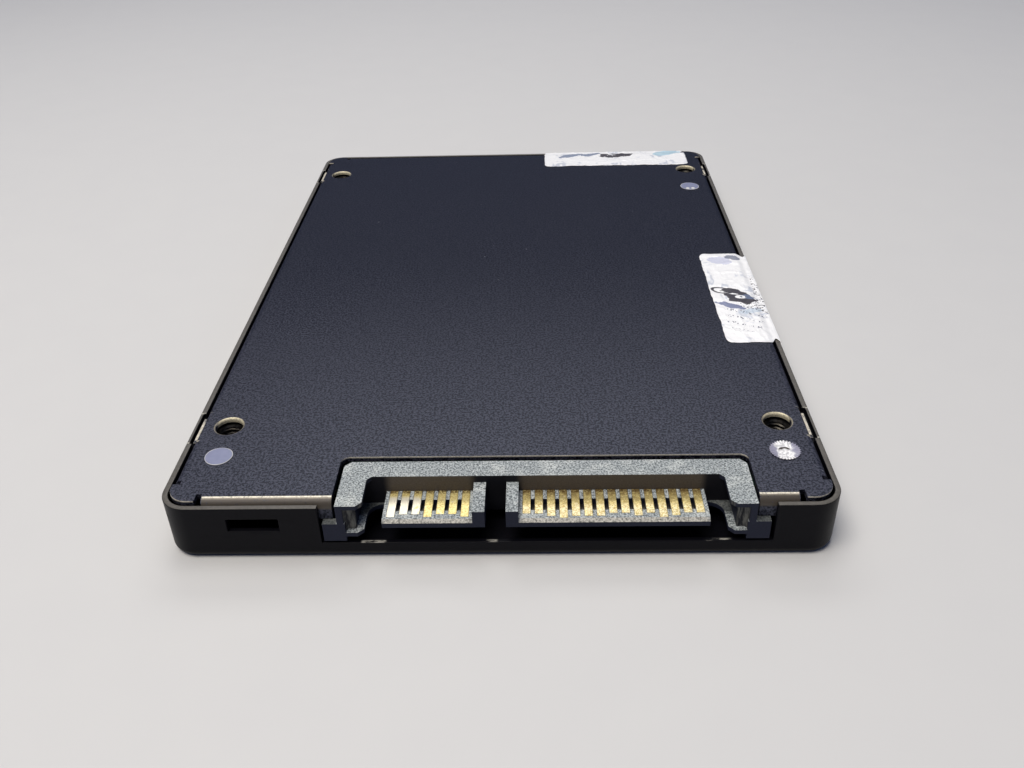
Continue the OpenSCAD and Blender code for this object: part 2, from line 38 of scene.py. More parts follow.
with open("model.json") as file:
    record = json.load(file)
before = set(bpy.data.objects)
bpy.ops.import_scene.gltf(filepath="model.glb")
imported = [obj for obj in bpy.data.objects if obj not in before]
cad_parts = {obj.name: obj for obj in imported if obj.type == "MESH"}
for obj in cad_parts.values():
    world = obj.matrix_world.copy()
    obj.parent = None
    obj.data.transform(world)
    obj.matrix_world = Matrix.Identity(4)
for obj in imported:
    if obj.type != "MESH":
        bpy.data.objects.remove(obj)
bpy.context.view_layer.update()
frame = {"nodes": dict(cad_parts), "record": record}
NODES = frame["nodes"]

# Heights and edges of the drive, read from the frame
SHELL_LOW, SHELL_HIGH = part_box("base_shell")
COVER_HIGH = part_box("cover_plate")[1]
FRONT_Y = SHELL_LOW.y
COVER_TOP = COVER_HIGH.z
RIM_TOP = SHELL_HIGH.z
BOARD_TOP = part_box("circuit_board")[1].z
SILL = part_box("plug_housing")[0].z - 0.3 * MM
SIGNAL_LOW, SIGNAL_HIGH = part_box("signal_contacts")
POWER_LOW, POWER_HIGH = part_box("power_contacts")
# Where light reaches the sill of the cut-out, past the ends of the two tongues
TONGUE_GAPS = (SIGNAL_LOW.x - 1.5 * MM, SIGNAL_HIGH.x + 1.6 * MM, POWER_HIGH.x + 1.5 * MM)
# Half length of the pockets in the cover's sides, measured from the side holes
POCKET = 2.7 * MM
# Inner and outer faces of the plug's arms, from the plug's centre line
ARM_FROM = 18.5 * MM
ARM_TO = 21.35 * MM
# Notches of the cover: beside its front fold, and where its side folds begin
END_NOTCH = 30.8 * MM
SIDE_FOLD = 4.3 * MM
# From the connector end to the origin, in mm
FRONT = 50.1
M3_PITCH = 0.5 * MM
SCREW_PITCH = 0.4 * MM
SCREW_RADIUS = 0.8 * MM
# Teeth round the rim of the pinked seal
PLEATS = 30


def centre(node):
    low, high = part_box(node)
    return (low + high) / 2


def solids(node):
    """The boxes, (lowest corner, highest corner), of a CAD node's separate solids."""
    bm = bmesh.new()
    bm.from_mesh(NODES[node].data)
    bmesh.ops.remove_doubles(bm, verts=bm.verts, dist=1e-6)
    left = set(bm.verts)
    found = []
    while left:
        stack = [left.pop()]
        places = []
        while stack:
            vert = stack.pop()
            places.append(vert.co.copy())
            for edge in vert.link_edges:
                other = edge.other_vert(vert)
                if other in left:
                    left.discard(other)
                    stack.append(other)
        low = Vector([min(p[i] for p in places) for i in range(3)])
        high = Vector([max(p[i] for p in places) for i in range(3)])
        found.append((low, high))
    bm.free()
    return sorted(found, key=lambda pair: tuple(round(v, 6) for v in pair[0]))


# ---------------------------------------------------------------- materials

class Shader:
    """A Principled material with short ways to add nodes. Sizes of noise, cells and relief are in mm."""

    def __init__(self, name, color, roughness, metallic=0.0):
        self.material = bpy.data.materials.new(name)
        self.material.use_nodes = True
        self.tree = self.material.node_tree
        self.surface = self.tree.nodes["Principled BSDF"]
        self.set("Base Color", (*color, 1.0))
        self.set("Roughness", roughness)
        self.set("Metallic", metallic)
        self.coords = self.add("ShaderNodeTexCoord").outputs["Object"]

    def add(self, kind, inputs=(), **settings):
        """A new node, with a value or a link for each named or numbered input."""
        made = self.tree.nodes.new(kind)
        for key, value in settings.items():
            setattr(made, key, value)
        for key, value in dict(inputs).items():
            self.feed(made.inputs[key], value)
        return made

    def feed(self, socket, value):
        if isinstance(value, bpy.types.NodeSocket):
            self.tree.links.new(value, socket)
        else:
            socket.default_value = value

    def set(self, name, value):
        self.feed(self.surface.inputs[name], value)

    def math(self, operation, a, b=0.0):
        return self.add("ShaderNodeMath", {0: a, 1: b}, operation=operation).outputs[0]

    def times(self, *values):
        product = values[0]
        for value in values[1:]:
            product = self.math("MULTIPLY", product, value)
        return product

    def most(self, *values):
        """The largest of several values."""
        largest = values[0]
        for value in values[1:]:
            largest = self.math("MAXIMUM", largest, value)
        return largest

    def less(self, a, b):
        return self.math("SUBTRACT", a, b)

    def apart(self, a, b):
        """How far a value is from another, without its sign."""
        return self.math("ABSOLUTE", self.less(a, b))

    def noise(self, size, detail=2.0, rough=0.5, stretch=(1, 1, 1)):
        """Noise whose blobs are about `size` across, from 0 to 1."""
        scale = [axis / (size * MM) for axis in stretch]
        place = self.add("ShaderNodeMapping", {"Vector": self.coords, "Scale": scale})
        return self.add("ShaderNodeTexNoise", {"Vector": place.outputs[0], "Scale": 1.0, "Detail": detail,
                                               "Roughness": rough}).outputs["Fac"]

    def cells(self, size, randomness=1.0):
        """Distance from the middles of cells about `size` apart, 1 being that size."""
        return self.add("ShaderNodeTexVoronoi", {"Vector": self.coords, "Scale": 1.0 / (size * MM),
                                                 "Randomness": randomness}, feature="F1").outputs["Distance"]

    def ridges(self, size, detail, stretch):
        """Sharp crease lines about `size` apart: 1 on a crease, 0 between."""
        return self.near(self.noise(size, detail, 0.5, stretch), 0.5, 0.09, 0.0)

    def step(self, value, low, high):
        """0 below low, 1 above high, smooth between; a high under low turns it round."""
        rises = high >= low
        return self.add("ShaderNodeMapRange", {
            "Value": value, "From Min": min(low, high), "From Max": max(low, high),
            "To Min": 0.0 if rises else 1.0, "To Max": 1.0 if rises else 0.0,
        }, interpolation_type="SMOOTHSTEP").outputs["Result"]

    def near(self, value, middle, outer, inner):
        """1 where a value is within inner of a middle, 0 beyond outer."""
        return self.step(self.apart(value, middle), outer, inner)

    def along(self, start, end):
        """A step from start to end, both in mm behind the connector end."""
        return self.step(self.axis("Y"), FRONT_Y + start * MM, FRONT_Y + end * MM)

    def below(self, start, end):
        """A step from start to end, both in mm below the cover's top."""
        return self.step(self.axis("Z"), COVER_TOP - start * MM, COVER_TOP - end * MM)

    def scale(self, value, low, high):
        """A 0 to 1 value spread from low to high."""
        made = self.add("ShaderNodeMapRange", {"Value": value, "To Min": low, "To Max": high})
        return made.outputs["Result"]

    def mix(self, share, a, b):
        """A colour between a and b; either may be a tuple of three values."""
        a, b = ((*color, 1.0) if isinstance(color, tuple) else color for color in (a, b))
        return self.add("ShaderNodeMix", {0: share, 6: a, 7: b}, data_type="RGBA").outputs[2]

    def mix_value(self, share, a, b):
        return self.add("ShaderNodeMix", {0: share, 2: a, 3: b}, data_type="FLOAT").outputs[0]

    def axis(self, name, vector=None):
        return self.add("ShaderNodeSeparateXYZ", {0: vector or self.coords}).outputs[name]

    def facing(self, name, normal=None):
        """One component of the surface's normal, in the row frame at rest."""
        normal = normal or self.add("ShaderNodeNewGeometry").outputs["Normal"]
        turned = self.add("ShaderNodeVectorTransform", {0: normal}, vector_type="NORMAL",
                          convert_from="WORLD", convert_to="OBJECT")
        return self.axis(name, turned.outputs[0])

    def rounded(self, radius):
        """The surface's normal with sharp edges rounded to a radius in mm."""
        return self.add("ShaderNodeBevel", {"Radius": radius * MM}, samples=6).outputs[0]

    def away(self, place, spread=(1.0, 1.0, 1.0), wobble=0.0, size=1.0, turn=0.0):
        """Distance from a place in metres, each axis divided by its spread, its line made uneven."""
        made = self.add("ShaderNodeMapping", {
            "Vector": self.coords, "Location": place, "Scale": spread,
            "Rotation": (0.0, 0.0, math.radians(turn)),
        }, vector_type="TEXTURE")
        distance = self.add("ShaderNodeVectorMath", {0: made.outputs[0]}, operation="LENGTH").outputs["Value"]
        if wobble:
            distance = self.math("ADD", distance, self.times(self.less(self.noise(size, 4), 0.5), wobble))
        return distance

    def bump(self, height, distance, strength, under=None):
        made = self.add("ShaderNodeBump", {"Height": height, "Distance": distance * MM, "Strength": strength})
        if under is not None:
            self.feed(made.inputs["Normal"], under)
        self.set("Normal", made.outputs[0])
        return made.outputs[0]


def hole_places():
    """Centres of the mounting holes at the height of the cover's top."""
    return [((low.x + high.x) / 2, (low.y + high.y) / 2, COVER_TOP)
            for low, high in solids("bottom_thread_inserts")]


def hole_rows():
    """Places along Y of the two rows of mounting holes, which the side pockets share."""
    return sorted({round(place[1], 5) for place in hole_places()})


def pocket_ends(s, offset, half):
    """1 on the narrow bands where the cover's side pockets begin and end."""
    bands = [s.near(s.apart(s.axis("Y"), row), POCKET + offset, half, half * 0.5) for row in hole_rows()]
    return s.most(*bands)


def cover_paint():
    """Charcoal powder paint with a strong grain, painted darker and bluer towards the back as a painted
    reflection; its folds and forward edges have lost paint down to the metal, which carries painted highlight
    and painted shade.
    """
    s = Shader("cover_paint", (0.03, 0.031, 0.038), 0.5)
    normal = s.rounded(0.07)
    up, fore = s.facing("Z", normal), s.facing("Y", normal)
    side = s.math("ABSOLUTE", s.axis("X"))
    grain = s.noise(0.26, 3, 0.7)
    # Painted reflection: towards the back the paint is painted darker and bluer and its gloss lowered, as the
    # lamps' sheen fades
    painted_front_sheen = s.along(60, 0)
    paint = s.mix(s.step(grain, 0.42, 0.58), (0.0012, 0.0015, 0.005), (0.062, 0.064, 0.088))
    paint = s.mix(s.mix_value(painted_front_sheen, 0.65, 0.0), paint, (0.0008, 0.0012, 0.007))
    dust = s.times(s.step(s.cells(2.6), 0.04, 0.028), s.step(s.noise(2), 0.52, 0.58))
    paint = s.mix(dust, paint, (0.2, 0.21, 0.24))

    # Paint loss and painted highlight, on faces turned to the front light: front fold, upper rim of forward
    # cuts, far walls of the holes, spring tabs
    slope, ahead = s.step(up, 0.985, 0.85), s.step(fore, -0.12, -0.4)
    fold = s.times(s.along(2.6, 2.2),
                   s.below(1.25, 0.9),
                   s.step(side, END_NOTCH, END_NOTCH - 0.2 * MM))
    rolled = s.times(fold, s.step(up, 0.99, 0.975), s.step(fore, -0.1, -0.2))
    near = s.along(3, 2.8)
    notches = s.most(s.times(near, s.near(side, END_NOTCH, 0.4 * MM, 0.34 * MM)),
                     s.near(s.axis("Y"), FRONT_Y + SIDE_FOLD, 0.2 * MM, 0.12 * MM))
    cuts = s.below(0.2, 0.14)
    lips = s.most(*[s.step(s.away(place), 2.1 * MM, 2.0 * MM) for place in hole_places()])
    far_walls = s.times(lips, s.below(0.6, 0.5))
    # Painted highlight: a thin light line round the near rims of the holes
    near_rims = s.times(lips, slope, s.step(up, 0.5, 0.7), s.less(1.0, ahead), 0.4)
    ends = s.times(pocket_ends(s, 0.0, 0.16 * MM), slope,
                   s.step(side, COVER_HIGH.x - 0.9 * MM, COVER_HIGH.x - 0.7 * MM))
    beside = s.step(side, COVER_HIGH.x - 0.34 * MM, COVER_HIGH.x - 0.31 * MM)
    tabs = s.most(*[s.times(beside, s.near(s.axis("Y"), row, POCKET - 0.1 * MM, POCKET - 0.3 * MM))
                    for row in hole_rows()])
    patchy = s.step(s.noise(0.3, 4, 0.6), 0.2, 0.45)
    free_end = s.step(s.noise(1.1, 3), 0.32, 0.55)
    bare_and_painted_highlight = s.times(s.most(s.times(s.most(rolled, s.times(slope, ahead, s.most(cuts, far_walls))),
                                  s.less(1.0, notches)), near_rims, ends,
                          s.times(tabs, free_end, 0.8)), patchy)

    # Painted shade: upright and downward faces of the exposed metal, other than at the lips and cut rims
    painted_side_shade = s.times(s.step(up, 0.4, 0.12), s.less(1.0, s.most(lips, cuts)))
    # Painted highlight: upward faces, and cut rims away from the fold
    bright = s.most(s.step(up, 0.92, 0.96), s.times(cuts, s.less(1.0, fold)))
    # Painted light and shade on the exposed metal: lighter where it faces up, darker brown below, lightest on
    # the painted highlight and the hole lips, dark on the painted side shade
    metal = s.mix(s.step(up, 0.84, 0.93), (0.075, 0.062, 0.048), (0.26, 0.23, 0.18))
    metal = s.mix(bright, metal, (0.88, 0.82, 0.68))
    metal = s.mix(lips, metal, (0.72, 0.65, 0.46))
    metal = s.mix(painted_side_shade, metal, (0.09, 0.075, 0.058))
    spots = s.scale(s.step(s.noise(0.22, 4, 0.7), 0.55, 0.4), 0.0, 0.35)
    metal = s.mix(spots, metal, (0.08, 0.068, 0.052))
    s.set("Base Color", s.mix(bare_and_painted_highlight, paint, metal))
    s.set("Metallic", s.times(bare_and_painted_highlight, 0.25))
    s.set("Roughness", s.mix_value(bare_and_painted_highlight, s.scale(grain, 0.34, 0.46), 0.48))
    s.set("Specular IOR Level", s.mix_value(painted_front_sheen, 0.22, 0.36))
    s.set("Specular Tint", (0.7, 0.8, 1.0, 1.0))
    s.bump(s.noise(0.1, 2), 0.01, 0.3, under=s.bump(grain, 0.035, 0.5, under=normal))
    return s.material


def shell_black():
    """Satin black shell with a fine moulded grain; its rim top shows wear and a painted highlight, and the
    sill of its cut-out has painted pools of light.
    """
    s = Shader("shell_black", (0.005, 0.005, 0.006), 0.4)
    normal = s.rounded(0.14)
    height, up = s.axis("Z"), s.facing("Z", normal)
    grain = s.noise(0.18, 3)
    body = s.mix(grain, (0.0016, 0.0016, 0.0028), (0.0045, 0.0045, 0.0075))
    # The rim's top face is lighter: wear, and a painted highlight
    high_up = s.times(s.step(height, RIM_TOP - 0.09 * MM, RIM_TOP - 0.02 * MM), s.step(up, 0.72, 0.97))
    wear_and_painted_highlight = s.mix(s.noise(0.3, 4, 0.6), (0.045, 0.042, 0.037), (0.14, 0.13, 0.115))
    wear_and_painted_highlight = s.mix(s.times(pocket_ends(s, 0.1 * MM, 0.14 * MM), 0.8), wear_and_painted_highlight, (0.5, 0.48, 0.42))
    # Painted light: pools of light painted on the sill where light falls on it past the ends of the two
    # tongues
    sill = s.times(s.near(height, SILL, 0.08 * MM, 0.05 * MM), s.step(s.facing("Z"), 0.7, 0.9),
                   s.along(0.45, 0.3))
    gaps = [s.near(s.axis("X"), at, 1.4 * MM, 1.1 * MM) for at in TONGUE_GAPS]
    painted_light_pools = s.times(s.most(*gaps), s.step(s.noise(0.6, 4, 0.6, (0.4, 1, 1)), 0.47, 0.62), 0.45)
    s.set("Base Color", s.mix(s.times(sill, painted_light_pools), s.mix(high_up, body, wear_and_painted_highlight), (0.6, 0.58, 0.52)))
    scuff = s.step(s.noise(3, 5, 0.6, (0.4, 1, 2.5)), 0.56, 0.7)
    s.set("Roughness", s.math("ADD", s.scale(s.noise(1.5, 4), 0.34, 0.5), s.scale(scuff, 0.0, 0.12)))
    s.set("Specular IOR Level", s.scale(high_up, 0.1, 0.45))
    s.bump(grain, 0.02, 0.35, under=normal)
    return s.material


def plug_plastic():
    """Glass-filled plastic speckled with fibres: its top faces light, partly dust and partly painted light,
    its sides dark and bluish as painted shade and reflection, and the forward slopes of its lips paler.
    """
    s = Shader("plug_plastic", (0.045, 0.05, 0.052), 0.55)
    normal = s.rounded(0.05)
    up, fore = s.facing("Z"), s.facing("Y")
    outwards = s.apart(s.axis("X"), centre("plug_housing").x)
    fibre = s.noise(0.2, 4, 0.75)
    # Painted shade and reflection: the sides are dark and bluish; the tops far lighter, partly dust and
    # partly painted light
    side = s.mix(fibre, (0.006, 0.008, 0.018), (0.022, 0.026, 0.048))
    top = s.mix(s.step(fibre, 0.4, 0.6), (0.06, 0.072, 0.082), (0.56, 0.61, 0.62))
    top = s.mix(s.scale(s.noise(1.1, 4, 0.6), 0.0, 0.4), top, (0.11, 0.125, 0.135))
    smudge = s.times(s.step(s.noise(2.8, 5, 0.7), 0.48, 0.66), s.step(fibre, 0.36, 0.54), 0.55)
    specks = s.times(s.step(s.cells(0.55), 0.16, 0.1), s.step(s.noise(0.9), 0.5, 0.56))
    top = s.mix(s.most(smudge, specks), top, (0.66, 0.69, 0.67))
    # Painted reflection: a gold glow from the contacts, with dust, on the wall behind them; the rest of that
    # wall stays black
    behind = s.most(*[s.times(s.step(s.axis("X"), low.x - 0.8 * MM, low.x + 0.3 * MM),
                              s.step(s.axis("X"), high.x + 0.8 * MM, high.x - 0.3 * MM))
                      for low, high in ((SIGNAL_LOW, SIGNAL_HIGH), (POWER_LOW, POWER_HIGH))])
    back = s.times(s.along(4.5, 4.65), s.step(fore, -0.5, -0.9))
    side = s.mix(back, side, (0.006, 0.006, 0.009))
    side = s.mix(s.times(back, behind), side, s.mix(fibre, (0.04, 0.032, 0.026), (0.13, 0.11, 0.088)))
    # Pockets in the fronts of the arms, in upright light and dark streaks
    streak = s.noise(0.5, 4, 0.7, (1.6, 1.6, 0.3))
    pocket = s.times(s.along(0.1, 0.4), s.along(1.3, 1), s.step(outwards, ARM_FROM, ARM_FROM + 0.3 * MM),
                     s.below(3.6, 3.5))
    side = s.mix(pocket, side, s.mix(s.step(streak, 0.36, 0.64), (0.014, 0.015, 0.02), (0.15, 0.15, 0.135)))
    # Painted shade: ear tops and the web between an arm and its bar are painted darker than the top face
    low_down = s.most(s.times(s.below(2.2, 2.3), s.step(outwards, ARM_TO, ARM_TO + 0.1 * MM)),
                      s.times(s.below(3.3, 3.4), s.along(2.2, 3.2)))
    top = s.mix(s.times(low_down, 0.8), top, (0.02, 0.022, 0.022))
    # Painted shade: the low floor behind the contacts is painted dark towards the back and light brown at its
    # front
    deep = s.times(behind, s.below(2.08, 2.25), s.below(2.95, 2.85))
    floor = s.mix(s.along(2.9, 2.4), (0.008, 0.007, 0.007), (0.09, 0.08, 0.066))
    top = s.mix(deep, top, floor)
    # A pale speckled colour on the forward slopes of the lips behind the contacts
    lip = s.times(s.step(up, 0.35, 0.55), s.step(up, 0.95, 0.85), s.step(fore, -0.3, -0.5), behind)
    # Painted light and shade: up-facing faces take the light top colour, the others the dark side colour
    color = s.mix(s.step(up, 0.35, 0.9), side, top)
    pale_lip = s.mix(s.step(fibre, 0.35, 0.6), (0.13, 0.13, 0.12), (0.6, 0.58, 0.52))
    s.set("Base Color", s.mix(lip, color, pale_lip))
    s.set("Roughness", s.scale(fibre, 0.42, 0.68))
    s.set("Specular IOR Level", s.mix_value(s.step(up, 0.2, 0.6), 0.15, 0.35))
    s.bump(fibre, 0.025, 0.55, under=normal)
    return s.material


def contact_gold():
    """Gold flash, brown and specked at the roots, and pale at the tips of the signal contacts from wear and
    from a painted reflection.
    """
    s = Shader("contact_gold", (0.85, 0.6, 0.22), 0.3, 1.0)
    speck = s.noise(0.17, 4, 0.7)
    across = s.axis("X")
    power = s.step(across, -1.0 * MM, 1.0 * MM)
    root = s.along(4.15, 4.4)
    tip = s.along(4.0, 3.4)
    gold = s.mix(s.step(speck, 0.34, 0.6), (0.66, 0.5, 0.17), (1.0, 0.86, 0.4))
    dull = s.times(power, s.scale(tip, 0.9, 0.5), s.step(s.noise(0.4, 4, 0.7), 0.36, 0.56))
    gold = s.mix(dull, gold, (0.34, 0.24, 0.09))
    gold = s.mix(s.times(root, s.step(speck, 0.66, 0.44), 0.9), gold, (0.13, 0.075, 0.025))
    # Painted reflection: the pale tips are whitened most on the first three signal contacts
    painted_glare = s.step(across, -6.8 * MM, -9.4 * MM)
    wear_and_painted_highlight = s.step(s.math("ADD", s.noise(0.7, 3), s.times(painted_glare, 0.45)), 0.6, 0.8)
    gold = s.mix(s.times(tip, wear_and_painted_highlight, s.less(1.0, s.times(power, 0.6))), gold, (1.0, 0.94, 0.76))
    pale = s.times(power, s.along(2.8, 1.8), s.step(speck, 0.42, 0.58), 0.6)
    gold = s.mix(pale, gold, (1.0, 0.93, 0.7))
    s.set("Base Color", gold)
    s.set("Metallic", s.mix_value(root, 0.65, 0.5))
    s.set("Roughness", s.scale(speck, 0.5, 0.3))
    s.bump(speck, 0.015, 0.5)
    return s.material


def seal_foil():
    """White creased foil with blue-grey shadows in its folds, torn through to black in places."""
    s = Shader("seal_foil", (0.95, 0.96, 0.97), 0.3, 0.12)

    def mark(node, x, y, spread, turn=0.0, wobble=0.7, size=0.9):
        """1 inside an uneven ellipse, placed in mm from the middle of a seal."""
        place = centre(node) + Vector((x * MM, y * MM, 0))
        place.z = COVER_TOP
        away = s.away(place, (spread[0] * MM, spread[1] * MM, 4 * MM), wobble, size, turn)
        return s.step(away, 1.0, 0.88)

    side, back = functools.partial(mark, "side_seal"), functools.partial(mark, "back_seal")

    def tone(share, color):
        nonlocal surface
        surface = s.mix(share, surface, color)

    surface = s.mix(s.noise(0.5, 3), (0.9, 0.91, 0.93), (1.0, 1.0, 1.0))
    crease = s.ridges(1.9, 2, (1.0, 0.42, 1.0))
    crinkle = s.times(s.step(s.noise(0.8, 4, 0.6, (0.5, 1.7, 1)), 0.56, 0.66),
                      s.step(s.noise(5.5, 2), 0.54, 0.62))
    tone(s.times(crinkle, 0.6), (0.4, 0.46, 0.6))
    tone(s.times(crease, s.step(s.noise(3.4, 2), 0.53, 0.6), 0.5), (0.3, 0.36, 0.5))
    # Side seal: violet tint at its far end, blue folds below the tear, rows of small ticks nearer
    tone(s.times(side(-0.6, 10.4, (2.0, 1.1), -16, 1.6, 1.6), 0.55), (0.44, 0.47, 0.7))
    tone(s.times(side(1.3, 11.3, (1.5, 0.7), -20, 1.2), 0.85), (0.16, 0.18, 0.26))
    tone(s.times(side(-1.3, -3.1, (2.0, 0.7), -30, 1.4), 0.9), (0.16, 0.19, 0.34))
    tone(s.times(side(1.2, -4.6, (2.0, 0.6), 24, 1.2), 0.6), (0.5, 0.62, 0.74))
    slanted = s.math("ADD", s.axis("Y"), s.times(s.axis("X"), 0.45))
    rows = s.near(s.math("FRACT", s.math("DIVIDE", slanted, 1.7 * MM)), 0.5, 0.2, 0.12)
    ticks = s.times(rows, s.step(s.noise(0.3, 2, 0.5, (1.4, 0.7, 1)), 0.55, 0.6),
                    side(0.0, -6.0, (3.0, 4.0), 0, 1.0, 2.0))
    tone(ticks, (0.1, 0.11, 0.17))
    # Back seal: blue streaks at its left, a pale blue tint at its right
    tone(s.times(s.most(back(-8.0, 1.7, (2.4, 0.9), 28, 1.2),
                        back(-4.4, 2.0, (2.0, 0.8), 24, 1.2)), 0.85), (0.15, 0.2, 0.32))
    tone(s.times(back(9.4, 2.2, (2.8, 1.3), 20, 1.0, 1.6), 0.8), (0.4, 0.62, 0.74))
    # Torn places
    tear = s.times(s.most(side(0.0, -0.6, (2.6, 1.5), -42, 1.2, 1.3),
                          side(-0.7, 1.2, (1.3, 0.6), -4, 0.9)),
                   s.less(1.0, side(0.35, -0.7, (0.8, 0.5), -8, 0.4)),
                   s.less(1.0, side(-0.9, 0.3, (1.2, 0.22), -14, 0.5)))
    ring = centre("side_seal") + Vector((-1.9 * MM, 1.2 * MM, 0))
    ring.z = COVER_TOP
    loop = s.near(s.away(ring, (1.3 * MM, 0.75 * MM, 4 * MM), 0.3, 1.5, -25), 1.0, 0.24, 0.12)
    crumbs = s.times(s.most(side(1.7, -2.2, (2.2, 1.8), -40, 0.8),
                            side(2.9, -0.6, (0.6, 6.0), 0, 0.8)),
                     s.step(s.noise(0.36, 3), 0.56, 0.6))
    blot = s.times(back(0.3, 1.3, (3.2, 1.3), 8, 1.4, 1.3),
                   s.step(s.noise(1.1, 3, 0.6, (0.8, 1.3, 1)), 0.62, 0.56))
    torn = s.most(tear, loop, crumbs, blot)
    backing = s.mix(s.noise(0.5, 2), (0.02, 0.018, 0.024), (0.075, 0.068, 0.085))
    tone(torn, s.mix(side(1.4, -0.7, (1.2, 0.6), -30, 1.0), backing, (0.1, 0.13, 0.22)))
    s.set("Base Color", surface)
    s.set("Metallic", s.scale(torn, 0.12, 0.0))
    s.set("Roughness", s.mix_value(torn, s.scale(s.noise(0.7, 3), 0.24, 0.44), 0.5))
    s.bump(s.noise(0.5, 3), 0.04, 0.4, under=s.bump(crease, 0.05, 0.4))
    return s.material


def round_seal():
    """Smooth lavender-grey film with a thin bright rim where it is cut."""
    s = Shader("round_seal", (0.42, 0.42, 0.5), 0.34)
    cloud = s.noise(0.8, 4)
    film = s.mix(cloud, (0.17, 0.188, 0.3), (0.25, 0.27, 0.4))
    rims = []
    for node in ("screw_seal_front_left", "screw_seal_back_right"):
        low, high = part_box(node)
        away = s.away(centre(node), [(high.x - low.x) / 2] * 3)
        rims.append(s.times(s.step(away, 0.93, 0.99), s.step(away, 1.3, 1.2), 0.7))
    # Two dents at the near edge of the back one catch the light
    for shift in (-0.45, 0.42):
        dent = centre("screw_seal_back_right") + Vector((shift * MM, -0.95 * MM, 0))
        rims.append(s.step(s.away(dent), 0.42 * MM, 0.2 * MM))
    s.set("Base Color", s.mix(s.most(*rims), film, (0.74, 0.73, 0.68)))
    s.set("Roughness", s.scale(cloud, 0.3, 0.45))
    s.bump(cloud, 0.02, 0.3)
    return s.material


def pressed_seal():
    """Foil pressed over a screw: white middle, lavender shoulders, dark pleats and one brown crease."""
    s = Shader("pressed_seal", (0.95, 0.95, 0.97), 0.3, 0.12)
    node = "screw_seal_front_right"
    low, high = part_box(node)
    radius = (high.x - low.x) / 2
    middle = centre(node)
    x = s.math("DIVIDE", s.less(s.axis("X"), middle.x), radius)
    y = s.math("DIVIDE", s.less(s.axis("Y"), middle.y), radius)
    uneven = s.times(s.less(s.noise(0.6, 4), 0.5), 0.9)
    shoulder = s.step(s.math("ADD", s.math("ABSOLUTE", x), uneven), 0.42, 0.62)
    color = s.mix(s.step(s.noise(0.3, 3), 0.35, 0.6), (0.56, 0.56, 0.58), (0.98, 0.98, 0.98))
    color = s.mix(s.times(shoulder, 0.9), color, (0.25, 0.25, 0.35))
    reach = s.math("SQRT", s.math("ADD", s.times(x, x), s.times(y, y)))
    turn = s.times(s.math("ARCTAN2", y, x), PLEATS / TURN)
    pleat = s.times(s.near(s.math("FRACT", s.math("ADD", turn, PLEATS)), 0.5, 0.22, 0.05),
                    s.step(reach, 0.66, 0.92), 0.75)
    color = s.mix(pleat, color, (0.2, 0.19, 0.24))
    arc = middle + Vector((-0.05 * MM, -0.25 * MM, 0))
    crease = s.times(s.near(s.away(arc, (0.62 * MM, 0.72 * MM, 4 * MM), 0.5, 0.8), 1.0, 0.3, 0.14),
                     s.step(y, 0.02, 0.15))
    s.set("Base Color", s.mix(crease, color, (0.03, 0.02, 0.014)))
    s.set("Roughness", s.scale(s.noise(0.4, 3), 0.22, 0.42))
    s.bump(s.noise(0.35, 3), 0.03, 0.5)
    return s.material


def board_laminate():
    """Green solder mask over copper runs, with vias and a glass-fibre edge."""
    s = Shader("board_laminate", (0.01, 0.09, 0.045), 0.28)
    x, y = s.axis("X"), s.axis("Y")
    slant = s.times(s.math("ADD", x, y), 0.7071)
    choice = s.noise(7, 0)
    lane = s.mix_value(s.step(choice, 0.47, 0.475), x, y)
    lane = s.mix_value(s.step(choice, 0.54, 0.545), lane, slant)
    phase = s.math("FRACT", s.math("DIVIDE", lane, 0.42 * MM))
    run = s.near(phase, 0.5, 0.19, 0.13)
    bundle = s.step(s.noise(4.5, 1), 0.47, 0.49)
    copper = s.most(s.times(run, bundle), s.step(s.noise(9, 0), 0.58, 0.585))
    mask = s.mix(copper, (0.004, 0.05, 0.028), (0.014, 0.125, 0.06))
    spot = s.cells(1.45, randomness=0.75)
    kept = s.step(s.noise(5, 0), 0.44, 0.47)
    pad = s.times(s.step(spot, 0.2, 0.17), kept)
    bore = s.times(s.step(spot, 0.1, 0.08), kept)
    face = s.mix(pad, mask, (0.35, 0.42, 0.26))
    face = s.mix(bore, face, (0.01, 0.02, 0.012))
    edge = s.mix(s.noise(0.15, 2, 0.5, (0.2, 0.2, 3)), (0.16, 0.15, 0.06), (0.34, 0.32, 0.16))
    flat = s.step(s.math("ABSOLUTE", s.facing("Z")), 0.6, 0.8)
    s.set("Base Color", s.mix(flat, edge, face))
    s.set("Roughness", s.mix_value(flat, 0.65, s.scale(s.noise(0.6), 0.24, 0.34)))
    s.bump(s.less(copper, s.times(bore, 2.0)), 0.02, 0.5)
    return s.material


